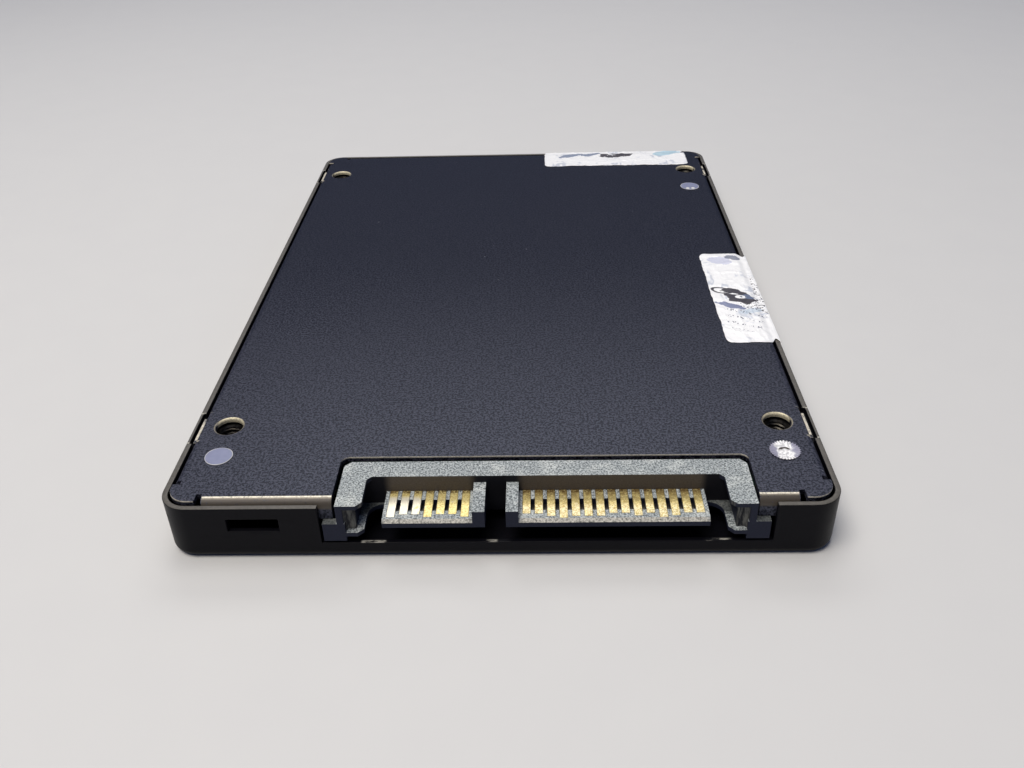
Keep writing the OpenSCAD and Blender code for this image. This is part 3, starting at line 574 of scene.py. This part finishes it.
def label_film():
    """Satin printed film: pale field, a dark band, tinted panels and thin rules, with no lettering."""
    s = Shader("label_film", (0.72, 0.73, 0.75), 0.4)
    low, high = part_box("product_label")
    x = s.math("DIVIDE", s.math("SUBTRACT", s.axis("X"), low.x), high.x - low.x)
    y = s.math("DIVIDE", s.math("SUBTRACT", s.axis("Y"), low.y), high.y - low.y)

    def panel(x_from, x_to, y_from, y_to):
        soft = 0.002
        return s.times(s.step(x, x_from, x_from + soft), s.step(x, x_to + soft, x_to),
                       s.step(y, y_from, y_from + soft), s.step(y, y_to + soft, y_to))

    paper = s.mix(s.noise(0.3, 3), (0.6, 0.61, 0.64), (0.72, 0.73, 0.76))
    rule = (0.1, 0.11, 0.13)
    areas = (
        ((-1, 2, 0.74, 2), (0.05, 0.055, 0.07)),
        ((0.06, 0.94, 0.08, 0.085), rule),
        ((0.06, 0.94, 0.7, 0.705), rule),
        ((0.06, 0.42, 0.48, 0.66), (0.3, 0.36, 0.45)),
        ((0.46, 0.94, 0.48, 0.66), (0.42, 0.44, 0.48)),
        ((0.06, 0.94, 0.14, 0.42), (0.52, 0.54, 0.57)),
    )
    ink = paper
    for area, color in areas:
        ink = s.mix(panel(*area), ink, color)
    s.set("Base Color", ink)
    s.set("Roughness", s.scale(s.noise(1.2, 3), 0.34, 0.46))
    s.bump(s.noise(0.25, 2), 0.01, 0.3)
    return s.material


def plain(name, dark, light, roughness, metallic=0.0, size=0.3, relief=0.01, drift=0.25):
    """A material for the small pieces: close colours in specks and drifts, uneven gloss and relief."""
    s = Shader(name, light, roughness, metallic)
    speck = s.noise(size, 3)
    middle = tuple((a + b) / 2 * 0.8 for a, b in zip(dark, light))
    color = s.mix(s.step(speck, 0.3, 0.7), dark, light)
    s.set("Base Color", s.mix(s.scale(s.noise(6, 2), 0.0, 2 * drift), color, middle))
    s.set("Roughness", s.scale(speck, roughness - 0.06, roughness + 0.08))
    s.bump(speck, relief, 0.4)
    MATERIALS[name] = s.material


def turned_metal(name, dark, light, roughness):
    """Plated metal with fine rings of machining and a little tarnish."""
    s = Shader(name, light, roughness, 1.0)
    rings = s.noise(0.05, 2, 0.5, (0.15, 0.15, 1.6))
    tarnish = s.noise(0.7, 4)
    s.set("Base Color", s.mix(s.step(tarnish, 0.3, 0.7), dark, light))
    s.set("Roughness", s.scale(rings, roughness - 0.08, roughness + 0.12))
    s.bump(rings, 0.006, 0.5)
    MATERIALS[name] = s.material


MATERIALS = {make.__name__: make() for make in (
    cover_paint, shell_black, plug_plastic, contact_gold, seal_foil, label_film, board_laminate, round_seal,
    pressed_seal)}
plain("amber_film", (0.42, 0.2, 0.025), (0.6, 0.32, 0.06), 0.25, size=1.5)
# Near black, darker than plain steel: painted shade for the insides of the mounting holes
turned_metal("insert_steel", (0.012, 0.011, 0.01), (0.075, 0.07, 0.062), 0.4)
turned_metal("screw_steel", (0.5, 0.5, 0.5), (0.74, 0.74, 0.75), 0.3)
plain("tinned_metal", (0.5, 0.5, 0.48), (0.76, 0.76, 0.74), 0.34, 1.0, 0.25, 0.02)
plain("chip_epoxy", (0.012, 0.012, 0.014), (0.028, 0.028, 0.031), 0.5, size=0.1, relief=0.015)
plain("inductor_core", (0.05, 0.05, 0.055), (0.13, 0.13, 0.14), 0.6, size=0.08, relief=0.02)
plain("tantalum_case", (0.45, 0.21, 0.025), (0.62, 0.34, 0.06), 0.42, size=0.15)
plain("capacitor_ceramic", (0.27, 0.17, 0.1), (0.43, 0.3, 0.19), 0.42, size=0.2, drift=0.45)
plain("resistor_body", (0.01, 0.01, 0.012), (0.03, 0.03, 0.033), 0.35, size=0.1)
plain("fuse_body", (0.6, 0.6, 0.56), (0.8, 0.8, 0.76), 0.45, size=0.1)
plain("crystal_can", (0.55, 0.53, 0.46), (0.76, 0.74, 0.67), 0.26, 1.0)
plain("silicone_pad", (0.32, 0.38, 0.44), (0.46, 0.52, 0.57), 0.7, size=0.4, relief=0.04)
plain("print_white", (0.62, 0.64, 0.62), (0.8, 0.82, 0.8), 0.55, size=0.12)
plain("print_dark", (0.1, 0.035, 0.01), (0.16, 0.06, 0.015), 0.5, size=0.12)


# ---------------------------------------------------------------- shared shapes

def smooth_by_angle():
    """Geometry nodes that shade everything smooth but the edges sharper than 30 degrees."""
    group = bpy.data.node_groups.new("smooth_by_angle", "GeometryNodeTree")
    group.interface.new_socket("Geometry", in_out="INPUT", socket_type="NodeSocketGeometry")
    group.interface.new_socket("Geometry", in_out="OUTPUT", socket_type="NodeSocketGeometry")
    source = group.nodes.new("NodeGroupInput")
    sink = group.nodes.new("NodeGroupOutput")
    faces = group.nodes.new("GeometryNodeSetShadeSmooth")
    edges = group.nodes.new("GeometryNodeSetShadeSmooth")
    angle = group.nodes.new("GeometryNodeInputMeshEdgeAngle")
    sharp = group.nodes.new("FunctionNodeCompare")
    edges.domain = "EDGE"
    edges.inputs["Shade Smooth"].default_value = False
    sharp.inputs["B"].default_value = math.radians(30)
    group.links.new(source.outputs[0], faces.inputs["Geometry"])
    group.links.new(faces.outputs[0], edges.inputs["Geometry"])
    group.links.new(angle.outputs["Unsigned Angle"], sharp.inputs["A"])
    group.links.new(sharp.outputs[0], edges.inputs["Selection"])
    group.links.new(edges.outputs[0], sink.inputs[0])
    return group


SMOOTH = smooth_by_angle()


def soften(obj, width):
    """Welds a mesh's split corners, rounds its sharp edges by width metres and shades it evenly."""
    if not width:
        return
    weld = obj.modifiers.new("weld", "WELD")
    weld.merge_threshold = 1e-6
    bevel = obj.modifiers.new("bevel", "BEVEL")
    bevel.width = width
    bevel.segments = 2
    bevel.limit_method = "ANGLE"
    bevel.angle_limit = math.radians(35)
    bevel.use_clamp_overlap = False
    shade = obj.modifiers.new("shade", "NODES")
    shade.node_group = SMOOTH
    even = obj.modifiers.new("even", "WEIGHTED_NORMAL")
    even.keep_sharp = True


def add_to_scene(name, data):
    obj = bpy.data.objects.new(name, data)
    bpy.context.scene.collection.objects.link(obj)
    return obj


def make(name, bm, body, slot, stands_for=(), width=0.0, finish=None):
    """Turns a bmesh into a piece that rides on a body, with the material of its slot or of `finish`."""
    mesh = bpy.data.meshes.new(name)
    bmesh.ops.recalc_face_normals(bm, faces=bm.faces)
    bm.to_mesh(mesh)
    bm.free()
    obj = add_to_scene(name, mesh)
    mesh.materials.append(MATERIALS[finish or slot])
    if width:
        soften(obj, width)
    else:
        obj.modifiers.new("shade", "NODES").node_group = SMOOTH
    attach(obj, body)
    if stands_for:
        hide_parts(*stands_for)
    return obj


def add_box(bm, low, high):
    """A closed box between two corners."""
    corners = [bm.verts.new((x, y, z)) for z in (low[2], high[2]) for x, y in
               ((low[0], low[1]), (high[0], low[1]), (high[0], high[1]), (low[0], high[1]))]
    bm.faces.new(corners[:4])
    bm.faces.new(corners[4:])
    for i in range(4):
        j = (i + 1) % 4
        bm.faces.new((corners[i], corners[j], corners[4 + j], corners[4 + i]))


def add_prism(bm, outline, start, end, axis):
    """A closed prism: an outline in two axes drawn out along the third, from start to end."""
    others = [i for i in range(3) if i != axis]
    rings = []
    for along in (start, end):
        ring = []
        for a, b in outline:
            place = [0.0, 0.0, 0.0]
            place[axis], place[others[0]], place[others[1]] = along, a, b
            ring.append(bm.verts.new(place))
        rings.append(ring)
        bm.faces.new(ring)
    for i in range(len(outline)):
        j = (i + 1) % len(outline)
        bm.faces.new((rings[0][i], rings[0][j], rings[1][j], rings[1][i]))


def add_lathe(bm, profile, matrix, segments=48, shape=None, closed=True):
    """Turns (radius, height) points round Z. shape(radius, height, angle) may move each point."""
    rings = []
    for radius, height in profile:
        ring = []
        for k in range(segments):
            angle = TURN * k / segments
            r, h = shape(radius, height, angle) if shape else (radius, height)
            ring.append(bm.verts.new(matrix @ Vector((r * math.cos(angle), r * math.sin(angle), h))))
        rings.append(ring)
    count = len(rings) if closed else len(rings) - 1
    for i in range(count):
        near, far = rings[i], rings[(i + 1) % len(rings)]
        for k in range(segments):
            bm.faces.new((near[k], near[(k + 1) % segments], far[(k + 1) % segments], far[k]))
    if not closed:
        bm.faces.new(rings[0])
        bm.faces.new(rings[-1])


def thicken(obj, face, thickness):
    """Turns a sheet's faces up, going by one of them, and gives the sheet a thickness."""
    if obj.data.polygons[face].normal.z < 0:
        obj.data.flip_normals()
    thick = obj.modifiers.new("thick", "SOLIDIFY")
    thick.thickness = thickness
    thick.offset = 1


def thread_wave(height, angle, pitch):
    """0 at the root of a thread and 1 at its crest, for a right-handed helix."""
    phase = (height / pitch - angle / TURN) % 1.0
    return min(1.0, max(0.0, 1.6 - 3.4 * abs(phase - 0.5)))


# ---------------------------------------------------------------- thread inserts and screws

def add_insert(bm, matrix, outer, bore, length):
    """A tube with a cut thread in its bore and a lead-in at both ends."""
    steps = round(length / (0.05 * MM))
    lead = 0.3 * MM
    rows = [(bore, length * i / steps) for i in range(steps + 1)]
    knurl = [(outer, length * (1 - i / 4)) for i in range(5)]

    def shape(radius, height, angle):
        if radius < (outer + bore) / 2:
            cut = 0.2 * MM * (1 - thread_wave(height, angle, M3_PITCH))
            flare = max(0.0, 1 - min(height, length - height) / lead) * 0.2 * MM
            return radius + max(cut, flare), height
        return radius, height

    add_lathe(bm, rows + knurl, matrix, 56, shape)


def build_inserts():
    for place in ("bottom", "side"):
        node = f"{place}_thread_inserts"
        bm = bmesh.new()
        for low, high in solids(node):
            middle = (low + high) / 2
            if place == "side":
                side = 1 if middle.x > 0 else -1
                start = Vector((low.x if side > 0 else high.x, middle.y, middle.z))
                matrix = Matrix.Translation(start) @ Matrix.Rotation(side * math.pi / 2, 4, "Y")
                length, outer = high.x - low.x, (high.y - low.y) / 2
            else:
                matrix = Matrix.Translation((middle.x, middle.y, low.z))
                length, outer = high.z - low.z, (high.x - low.x) / 2
            add_insert(bm, matrix, outer, 1.25 * MM, length)
        make(f"{place}_insert_threads", bm, "drive", "insert_steel", [node])


def add_threaded_shank(bm, matrix, length):
    """A screw's shank from height -length to 0, with a thread, a tapered tip and a plain neck."""
    steps = round(length / (0.05 * MM))
    rows = [(SCREW_RADIUS, -length + length * i / steps) for i in range(steps + 1)]

    def shape(r, height, angle):
        depth = 0.16 * MM * (1 - thread_wave(height, angle, SCREW_PITCH))
        neck = max(0.0, 1 - -height / (0.3 * MM))
        tip = max(0.0, 1 - (height + length) / (0.5 * MM))
        return r - depth * (1 - neck) - 0.3 * MM * tip, height

    add_lathe(bm, rows, matrix, 40, shape, closed=False)


def add_head(bm, node, box, floor_z):
    """The head of a CAD screw, cut off at floor_z, with its cross recess."""
    head = bmesh.new()
    head.from_mesh(NODES[node].data)
    bmesh.ops.remove_doubles(head, verts=head.verts, dist=1e-6)
    low, high = box
    outside = [v for v in head.verts if not all(low[i] - MM < v.co[i] < high[i] + MM for i in (0, 1))]
    bmesh.ops.delete(head, geom=outside, context="VERTS")
    shank = [v for v in head.verts if v.co.z < floor_z]
    bmesh.ops.delete(head, geom=shank, context="VERTS")
    copy = bpy.data.meshes.new("head")
    head.to_mesh(copy)
    head.free()
    bm.from_mesh(copy)
    bpy.data.meshes.remove(copy)


def add_screw(bm, node, box, neck_z):
    """A screw whose thread begins at neck_z, below the head that CAD made."""
    low, high = box
    middle = (low + high) / 2
    add_head(bm, node, box, neck_z - 0.02 * MM)
    add_threaded_shank(bm, Matrix.Translation((middle.x, middle.y, neck_z)), neck_z - low.z)


def build_screws():
    for place in ("front_left", "front_right", "back_right"):
        node = f"cover_screw_{place}"
        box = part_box(node)
        bm = bmesh.new()
        add_screw(bm, node, box, box[1].z - 0.45 * MM)
        make(f"cover_screw_threaded_{place}", bm, f"{place}_screw", "screw_steel", [node], 0.03 * MM)
    bm = bmesh.new()
    for box in solids("board_screws"):
        add_screw(bm, "board_screws", box, BOARD_TOP)
    make("board_screws_threaded", bm, "drive", "screw_steel", ["board_screws"], 0.05 * MM)


# ---------------------------------------------------------------- seals

def wavy(along, seed, size, amount):
    return amount * noise.noise(Vector((along / size, seed, 0.37)))


def crumple(a, b, seed):
    """Height of the foil's creases, never below zero."""
    place = Vector((a / (2.6 * MM), b / (2.6 * MM), seed))
    fold = 1 - min(1.0, abs(noise.noise(place)) * 4)
    small = noise.noise(place * 3.1 + Vector((4, 2, 9)))
    return (0.055 * fold * fold + 0.025 * (small + 1) * 0.5) * MM


def build_sheet_seal(name, node, swap, seed, dip_from, nick):
    """A foil sheet stuck on the cover, pressed over the gap beside it and turned down the shell's wall.

    Lengths run across the edge (from the sheet's inner end, over the edge and down) and along it.
    With swap, the edge is the far one instead of the right one."""
    low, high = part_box(node)
    inner = low.y if swap else low.x
    outer = (high.y if swap else high.x) - 0.05 * MM
    start, end = (low.x, high.x) if swap else (low.y, high.y)
    top = COVER_TOP + 0.008 * MM
    turn_r = 0.1 * MM
    dip = 0.19 * MM
    corner = 0.95 * MM
    flat = outer - turn_r - inner
    down = top - dip - turn_r - low.z
    width = flat + turn_r * math.pi / 2 + down
    rows, columns = 76, 132

    def section(s):
        """Place across the edge, height, and the way the sheet faces there."""
        if s < flat:
            across = inner + s
            sink = min(1.0, max(0.0, (across - dip_from) / (0.9 * MM)))
            return across, top - dip * sink * sink * (3 - 2 * sink), 0.0
        if s < flat + turn_r * math.pi / 2:
            angle = (s - flat) / turn_r
            return inner + flat + turn_r * math.sin(angle), top - dip - turn_r * (1 - math.cos(angle)), angle
        return outer, top - dip - turn_r - (s - flat - turn_r * math.pi / 2), math.pi / 2

    bm = bmesh.new()
    grid = []
    for i in range(rows + 1):
        s = width * i / rows
        inset = 0.0
        for edge in (s, width - s):
            if edge < corner:
                inset = max(inset, corner - math.sqrt(corner * corner - (corner - edge) ** 2))
        gap = math.exp(-((s - flat + 0.35 * MM) / (0.45 * MM)) ** 2)
        first = start + inset + nick[0] * gap + abs(wavy(s, seed, 1.3 * MM, 0.12 * MM))
        last = end - inset - nick[1] * gap - abs(wavy(s, seed + 5, 1.1 * MM, 0.12 * MM))
        line = []
        for k in range(columns + 1):
            along = first + (last - first) * k / columns
            ragged = wavy(along, seed + 9, 3.4 * MM, 0.2 * MM) + wavy(along, seed + 3, 0.8 * MM, 0.07 * MM)
            shift = ragged * max(0.0, 1 - s / (2 * MM)) if s < 2 * MM else 0.0
            across, up, angle = section(s)
            lift = crumple(s, along, seed)
            across += shift + lift * math.sin(angle)
            up += lift * math.cos(angle)
            line.append(bm.verts.new((along, across, up) if swap else (across, along, up)))
        grid.append(line)
    for i in range(rows):
        for k in range(columns):
            bm.faces.new((grid[i][k], grid[i + 1][k], grid[i + 1][k + 1], grid[i][k + 1]))
    obj = make(name, bm, "cover", "seal_foil", [node])
    thicken(obj, columns * 3, 0.04 * MM)


def build_round_seal(place, slot, edge, relief, finish=None):
    """A disc over a screw's head. edge(angle) scales its outline; relief(r, angle) raises it, in mm."""
    node = f"screw_seal_{place}"
    low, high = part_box(node)
    middle = (low + high) / 2
    radius = (high.x - low.x) / 2
    rings, segments = 26, 240
    bm = bmesh.new()
    hub = bm.verts.new((middle.x, middle.y, low.z + relief(0, 0) * MM))
    previous = None
    for i in range(1, rings + 1):
        share = i / rings
        ring = []
        for k in range(segments):
            angle = TURN * k / segments
            reach = radius * share * (1 + (edge(angle) - 1) * share ** 4)
            ring.append(bm.verts.new((middle.x + reach * math.cos(angle), middle.y + reach * math.sin(angle),
                                      low.z + relief(share, angle) * MM)))
        for k in range(segments):
            j = (k + 1) % segments
            if previous is None:
                bm.faces.new((hub, ring[k], ring[j]))
            else:
                bm.faces.new((previous[k], ring[k], ring[j], previous[j]))
        previous = ring
    obj = make(f"round_seal_{place}", bm, f"{place}_screw", slot, [node], finish=finish)
    thicken(obj, 0, 0.045 * MM)


def tooth(angle, count):
    return 2 * abs((angle / TURN * count) % 1.0 - 0.5)


def bell(distance, width):
    return math.exp(-(distance / width) ** 2)


def build_seals():
    build_sheet_seal("foil_seal_side", "side_seal", False, 2.0, COVER_HIGH.x - 0.8 * MM, (1.1 * MM, 0.9 * MM))
    build_sheet_seal("foil_seal_back", "back_seal", True, 7.0, COVER_HIGH.y - 0.8 * MM, (0.2 * MM, 0.3 * MM))

    def film(r, angle):
        return 0.012 + 0.014 * (1 - r * r) + 0.012 * bell(r - 0.95, 0.05)

    def pressed(r, angle):
        """Foil pushed into the screw's recess: radial pleats, a shallow dish and one curved crease."""
        pleats = 0.05 * tooth(angle, PLEATS) * max(0.0, (r - 0.55) / 0.45)
        lump = 0.02 * noise.noise(Vector((r * math.cos(angle) * 3, r * math.sin(angle) * 3, 5)))
        turn = angle - 1.9
        arc = bell(r - 0.42, 0.05) * max(0.0, math.cos(turn * 0.9)) if abs(turn) < 1.6 else 0.0
        return 0.05 + pleats + lump - 0.055 * bell(r, 0.5) - 0.045 * arc

    def dimpled(r, angle):
        """Film that lies smooth but for two small dents side by side at its near edge."""
        x, y = r * math.cos(angle), r * math.sin(angle)
        dents = sum(bell(math.hypot(x - at, y + 0.62), 0.2) for at in (-0.3, 0.28))
        return 0.012 + 0.014 * (1 - r * r) + 0.035 * dents

    def pinked(angle):
        return 0.93 + 0.09 * tooth(angle, PLEATS)

    build_round_seal("front_left", "round_seal", lambda a: 1 + 0.01 * math.sin(3 * a), film)
    build_round_seal("front_right", "seal_foil", pinked, pressed, "pressed_seal")
    build_round_seal("back_right", "round_seal", lambda a: 1 - 0.015 * math.sin(2 * a), dimpled)


# ---------------------------------------------------------------- parts on the circuit board

def split_axis(low, high):
    """The longer of a part's two horizontal axes, and the other."""
    return (0, 1) if high.x - low.x > high.y - low.y else (1, 0)


def build_end_caps(name, node, share):
    """Tinned ends wrapped round small parts, each with a fillet of solder down to its pad."""
    bm = bmesh.new()
    skin = 0.02 * MM
    for low, high in solids(node):
        long, wide = split_axis(low, high)
        length = high[long] - low[long]
        rise = high.z - low.z
        for end, sign in ((low[long], 1), (high[long], -1)):
            a, b = low.copy(), high.copy()
            a[long], b[long] = sorted((end - sign * skin, end + sign * length * share))
            a[wide], b[wide] = low[wide] - skin, high[wide] + skin
            b.z = high.z + skin
            add_box(bm, a, b)
            reach = sign * min(0.3 * MM, rise * 0.5)
            fillet = [(end, low.z), (end - reach, low.z), (end - reach * 0.45, low.z + rise * 0.22),
                      (end, low.z + rise * 0.6)]
            add_prism(bm, fillet, low[wide] - skin, high[wide] + skin, wide)
    make(name, bm, "drive", "tinned_metal", width=0.03 * MM)


def add_pad(bm, x, y, radius, bore=0.0):
    """A thin tinned disc on the board, or a ring if it has a bore; sizes in mm."""
    height = 0.03 * MM
    outer, inner = radius * MM, bore * MM
    matrix = Matrix.Translation((x * MM, y * MM, BOARD_TOP))
    if bore:
        add_lathe(bm, [(inner, 0), (outer, 0), (outer, height), (inner, height)], matrix)
    else:
        add_lathe(bm, [(outer, 0), (outer, height * 0.7), (outer * 0.8, height)], matrix, 24, closed=False)


def build_pads():
    """Rows of test points on the board, and rings round its screws."""
    bm = bmesh.new()
    for i in range(6):
        add_pad(bm, -24.5, -31 + 2.2 * i, 0.45)
    for i in range(8):
        add_pad(bm, 25.5, 38 + 1.8 * i - FRONT, 0.4)
    for i in range(9):
        add_pad(bm, -26 + 2.4 * i, 44.8, 0.5)
    for i in range(10):
        add_pad(bm, 6 + 1.7 * i, 45.3, 0.4)
    for side in (-1, 1):
        for from_front in (22.6, 75.2):
            add_pad(bm, side * 30.8, from_front - FRONT, 2.35, 1.1)
    make("board_pads", bm, "drive", "tinned_metal")


MARKED_CHIPS = ("dram_chip", "flash_top", "power_management_chip", "serial_flash_chip")


def build_board_print():
    """Printed outlines round the larger parts, with a dot at the first pin."""
    bm = bmesh.new()
    line, thick, gap = 0.14 * MM, 0.015 * MM, 0.35 * MM
    for node in ("controller_chip", *MARKED_CHIPS, "power_inductors", "tantalum_capacitors", "input_fuse",
                 "surge_suppressor", "crystal_oscillator"):
        side_gap = gap + (0.45 * MM if node == "power_inductors" else 0.0)
        end_gap = gap + (0.7 * MM if node == "serial_flash_chip" else 0.0)
        for low, high in solids(node):
            x = (low.x - side_gap, high.x + side_gap)
            y = (low.y - end_gap, high.y + end_gap)
            for at_y in y:
                add_box(bm, (x[0], at_y - line / 2, BOARD_TOP), (x[1], at_y + line / 2, BOARD_TOP + thick))
            for at_x in x:
                add_box(bm, (at_x - line / 2, y[0] + line / 2, BOARD_TOP),
                        (at_x + line / 2, y[1] - line / 2, BOARD_TOP + thick))
            dot = Matrix.Translation((x[0] - 0.5 * MM, y[0] + 0.1 * MM, BOARD_TOP))
            add_lathe(bm, [(0.22 * MM, 0), (0.2 * MM, thick)], dot, 20, closed=False)
    make("board_print", bm, "drive", "board_laminate", finish="print_white")


def build_chip_marks():
    """A shallow moulded ring at the first pin of each chip, and blank panels where a marking would be."""
    dots, panels = bmesh.new(), bmesh.new()
    for node in MARKED_CHIPS:
        for low, high in solids(node):
            small = min(high.x - low.x, high.y - low.y)
            radius = small * 0.045
            matrix = Matrix.Translation((low.x + small * 0.14, low.y + small * 0.14, high.z))
            height = 0.02 * MM
            ring = [(radius * 0.6, 0), (radius, 0), (radius * 0.95, height), (radius * 0.65, height)]
            add_lathe(dots, ring, matrix, 28)
            if node == "flash_top":
                top = high.z + 0.008 * MM
                for start, end, margin in ((0.75, 0.8, 0.26), (0.62, 0.66, 0.42)):
                    add_box(panels, (low.x + small * 0.26, low.y + small * start, high.z),
                            (high.x - small * margin, low.y + small * end, top))
    make("chip_pin_marks", dots, "drive", "chip_epoxy")
    make("chip_print", panels, "drive", "chip_epoxy", finish="inductor_core")


def build_tantalum_details():
    """The polarity band and the bent lead tabs of each moulded capacitor."""
    bands, tabs = bmesh.new(), bmesh.new()
    for low, high in solids("tantalum_capacitors"):
        length, skin = high.x - low.x, 0.012 * MM
        add_box(bands, (low.x + length * 0.1, low.y - skin, low.z + 0.3 * MM),
                (low.x + length * 0.24, high.y + skin, high.z + skin))
        middle = (low.y + high.y) / 2
        for end, sign in ((low.x, -1), (high.x, 1)):
            face = end + 0.14 * MM * sign
            toe = face + 0.5 * MM * sign
            tab = [(end, low.z), (toe, low.z), (toe, low.z + 0.1 * MM),
                   (face, low.z + 0.2 * MM), (face, low.z + 1.05 * MM), (end, low.z + 1.1 * MM)]
            add_prism(tabs, tab, middle - 1.2 * MM, middle + 1.2 * MM, 1)
    make("tantalum_bands", bands, "drive", "tantalum_case", finish="print_dark")
    make("tantalum_tabs", tabs, "drive", "tinned_metal", width=0.03 * MM)


def build_solder_fillets():
    """Solder round the feet of the plug's contacts, its hold-downs and the small chip's leads."""
    bm = bmesh.new()
    for node in ("signal_contacts", "power_contacts"):
        for low, high in solids(node):
            middle, foot = (low.x + high.x) / 2, high.y
            half = 0.38 * MM
            outline = [(foot - 1.15 * MM, BOARD_TOP), (foot + 0.32 * MM, BOARD_TOP),
                       (foot + 0.1 * MM, BOARD_TOP + 0.12 * MM), (foot - 0.95 * MM, BOARD_TOP + 0.1 * MM)]
            add_prism(bm, outline, middle - half, middle + half, 0)
    for low, high in solids("plug_hold_downs"):
        pad = 0.3 * MM
        add_box(bm, (low.x - pad, low.y + 0.35 * MM, BOARD_TOP),
                (high.x + pad, high.y + pad, BOARD_TOP + 0.14 * MM))
    for low, high in solids("serial_flash_leads"):
        pad = 0.1 * MM
        add_box(bm, (low.x - pad, low.y - pad, BOARD_TOP),
                (high.x + pad, high.y + pad, BOARD_TOP + 0.12 * MM))
    make("solder_fillets", bm, "drive", "tinned_metal", width=0.06 * MM)


def build_crystal_lid():
    """The raised, seam-welded lid of the oscillator's can."""
    low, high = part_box("crystal_oscillator")
    inset, rise = 0.25 * MM, 0.08 * MM
    bm = bmesh.new()
    add_box(bm, (low.x + inset, low.y + inset, high.z), (high.x - inset, high.y - inset, high.z + rise))
    make("crystal_lid", bm, "drive", "crystal_can", width=0.05 * MM)


def build_board_parts():
    for node, share in (("ceramic_capacitors", 0.24), ("small_capacitors", 0.26), ("small_resistors", 0.22),
                        ("input_fuse", 0.2)):
        build_end_caps(f"{node.removesuffix('s')}_ends", node, share)
    build_pads()
    build_board_print()
    build_chip_marks()
    build_tantalum_details()
    build_solder_fillets()
    build_crystal_lid()


# ---------------------------------------------------------------- CAD nodes that stay

# Widths in mm of rounded edges that aren't 0.05; 0 leaves edges to the material
EDGE_WIDTHS = {"base_shell": 0.07, "cover_plate": 0.0, "plug_housing": 0.0, "circuit_board": 0.03,
               "product_label": 0.0, "insulator_film": 0.0, "small_capacitors": 0.02, "small_resistors": 0.02,
               "thermal_pad": 0.15, "power_inductors": 0.15, "tantalum_capacitors": 0.12,
               "signal_contacts": 0.04, "power_contacts": 0.04}


def dress_cad_nodes():
    slots = {p["node"]: p["material_slot"] for p in frame["record"]["subparts"]}
    for name, obj in NODES.items():
        obj.data.materials.clear()
        obj.data.materials.append(MATERIALS[slots[name]])
        soften(obj, EDGE_WIDTHS.get(name, 0.05) * MM)


# ---------------------------------------------------------------- camera, floor and light

def set_camera():
    data = bpy.data.cameras.new("camera")
    data.lens = 33.45
    data.sensor_width = 36.0
    data.clip_start = 0.005
    camera = add_to_scene("camera", data)
    heading, down, roll = (math.radians(a) for a in (-1.95, 33.68, -1.71))
    turn = Matrix.Rotation(-heading, 3, "Z") @ Matrix.Rotation(math.pi / 2 - down, 3, "X")
    turn = turn @ Matrix.Rotation(roll, 3, "Z")
    camera.matrix_world = turn.to_4x4()
    camera.location = Vector((4.31, -122.68, 70.02)) * MM
    bpy.context.scene.camera = camera


def set_floor():
    bpy.ops.mesh.primitive_plane_add(size=3.0, location=(0, 0, 0))
    floor = bpy.context.object
    floor.name = "floor"
    s = Shader("floor", (0.6, 0.6, 0.6), 0.7)
    s.set("Base Color", s.mix(s.noise(8, 4), (0.58, 0.58, 0.585), (0.6, 0.6, 0.6)))
    floor.data.materials.append(s.material)


def area_light(name, place, target, size, power, color=(1, 1, 1)):
    data = bpy.data.lights.new(name, "AREA")
    data.shape = "RECTANGLE"
    data.size, data.size_y = size
    data.energy = power
    data.color = color
    light = add_to_scene(name, data)
    light.location = place
    light.rotation_euler = (Vector(target) - Vector(place)).to_track_quat("-Z", "Y").to_euler()


def set_lights():
    """A warm key above and before the drive, a panel overhead, a low one beyond and a blue surround."""
    world = bpy.data.worlds.new("studio")
    world.use_nodes = True
    world.node_tree.nodes["Background"].inputs["Color"].default_value = (0.32, 0.43, 0.78, 1)
    world.node_tree.nodes["Background"].inputs["Strength"].default_value = 0.22
    bpy.context.scene.world = world
    area_light("key", (-0.14, -0.2, 0.5), (0, -0.02, 0), (0.3, 0.22), 2.1, (1.0, 0.93, 0.82))
    area_light("overhead", (-0.05, 0.02, 0.55), (0, -0.02, 0), (0.4, 0.3), 1.3, (1.0, 0.97, 0.92))
    area_light("beyond", (-0.02, 0.34, 0.4), (0, -0.02, 0), (0.4, 0.16), 0.55, (1.0, 0.97, 0.92))
    bpy.context.scene.view_settings.view_transform = "Standard"


# ---------------------------------------------------------------- scene


set_camera()
set_floor()
set_lights()
dress_cad_nodes()
build_inserts()
build_screws()
build_seals()
build_board_parts()
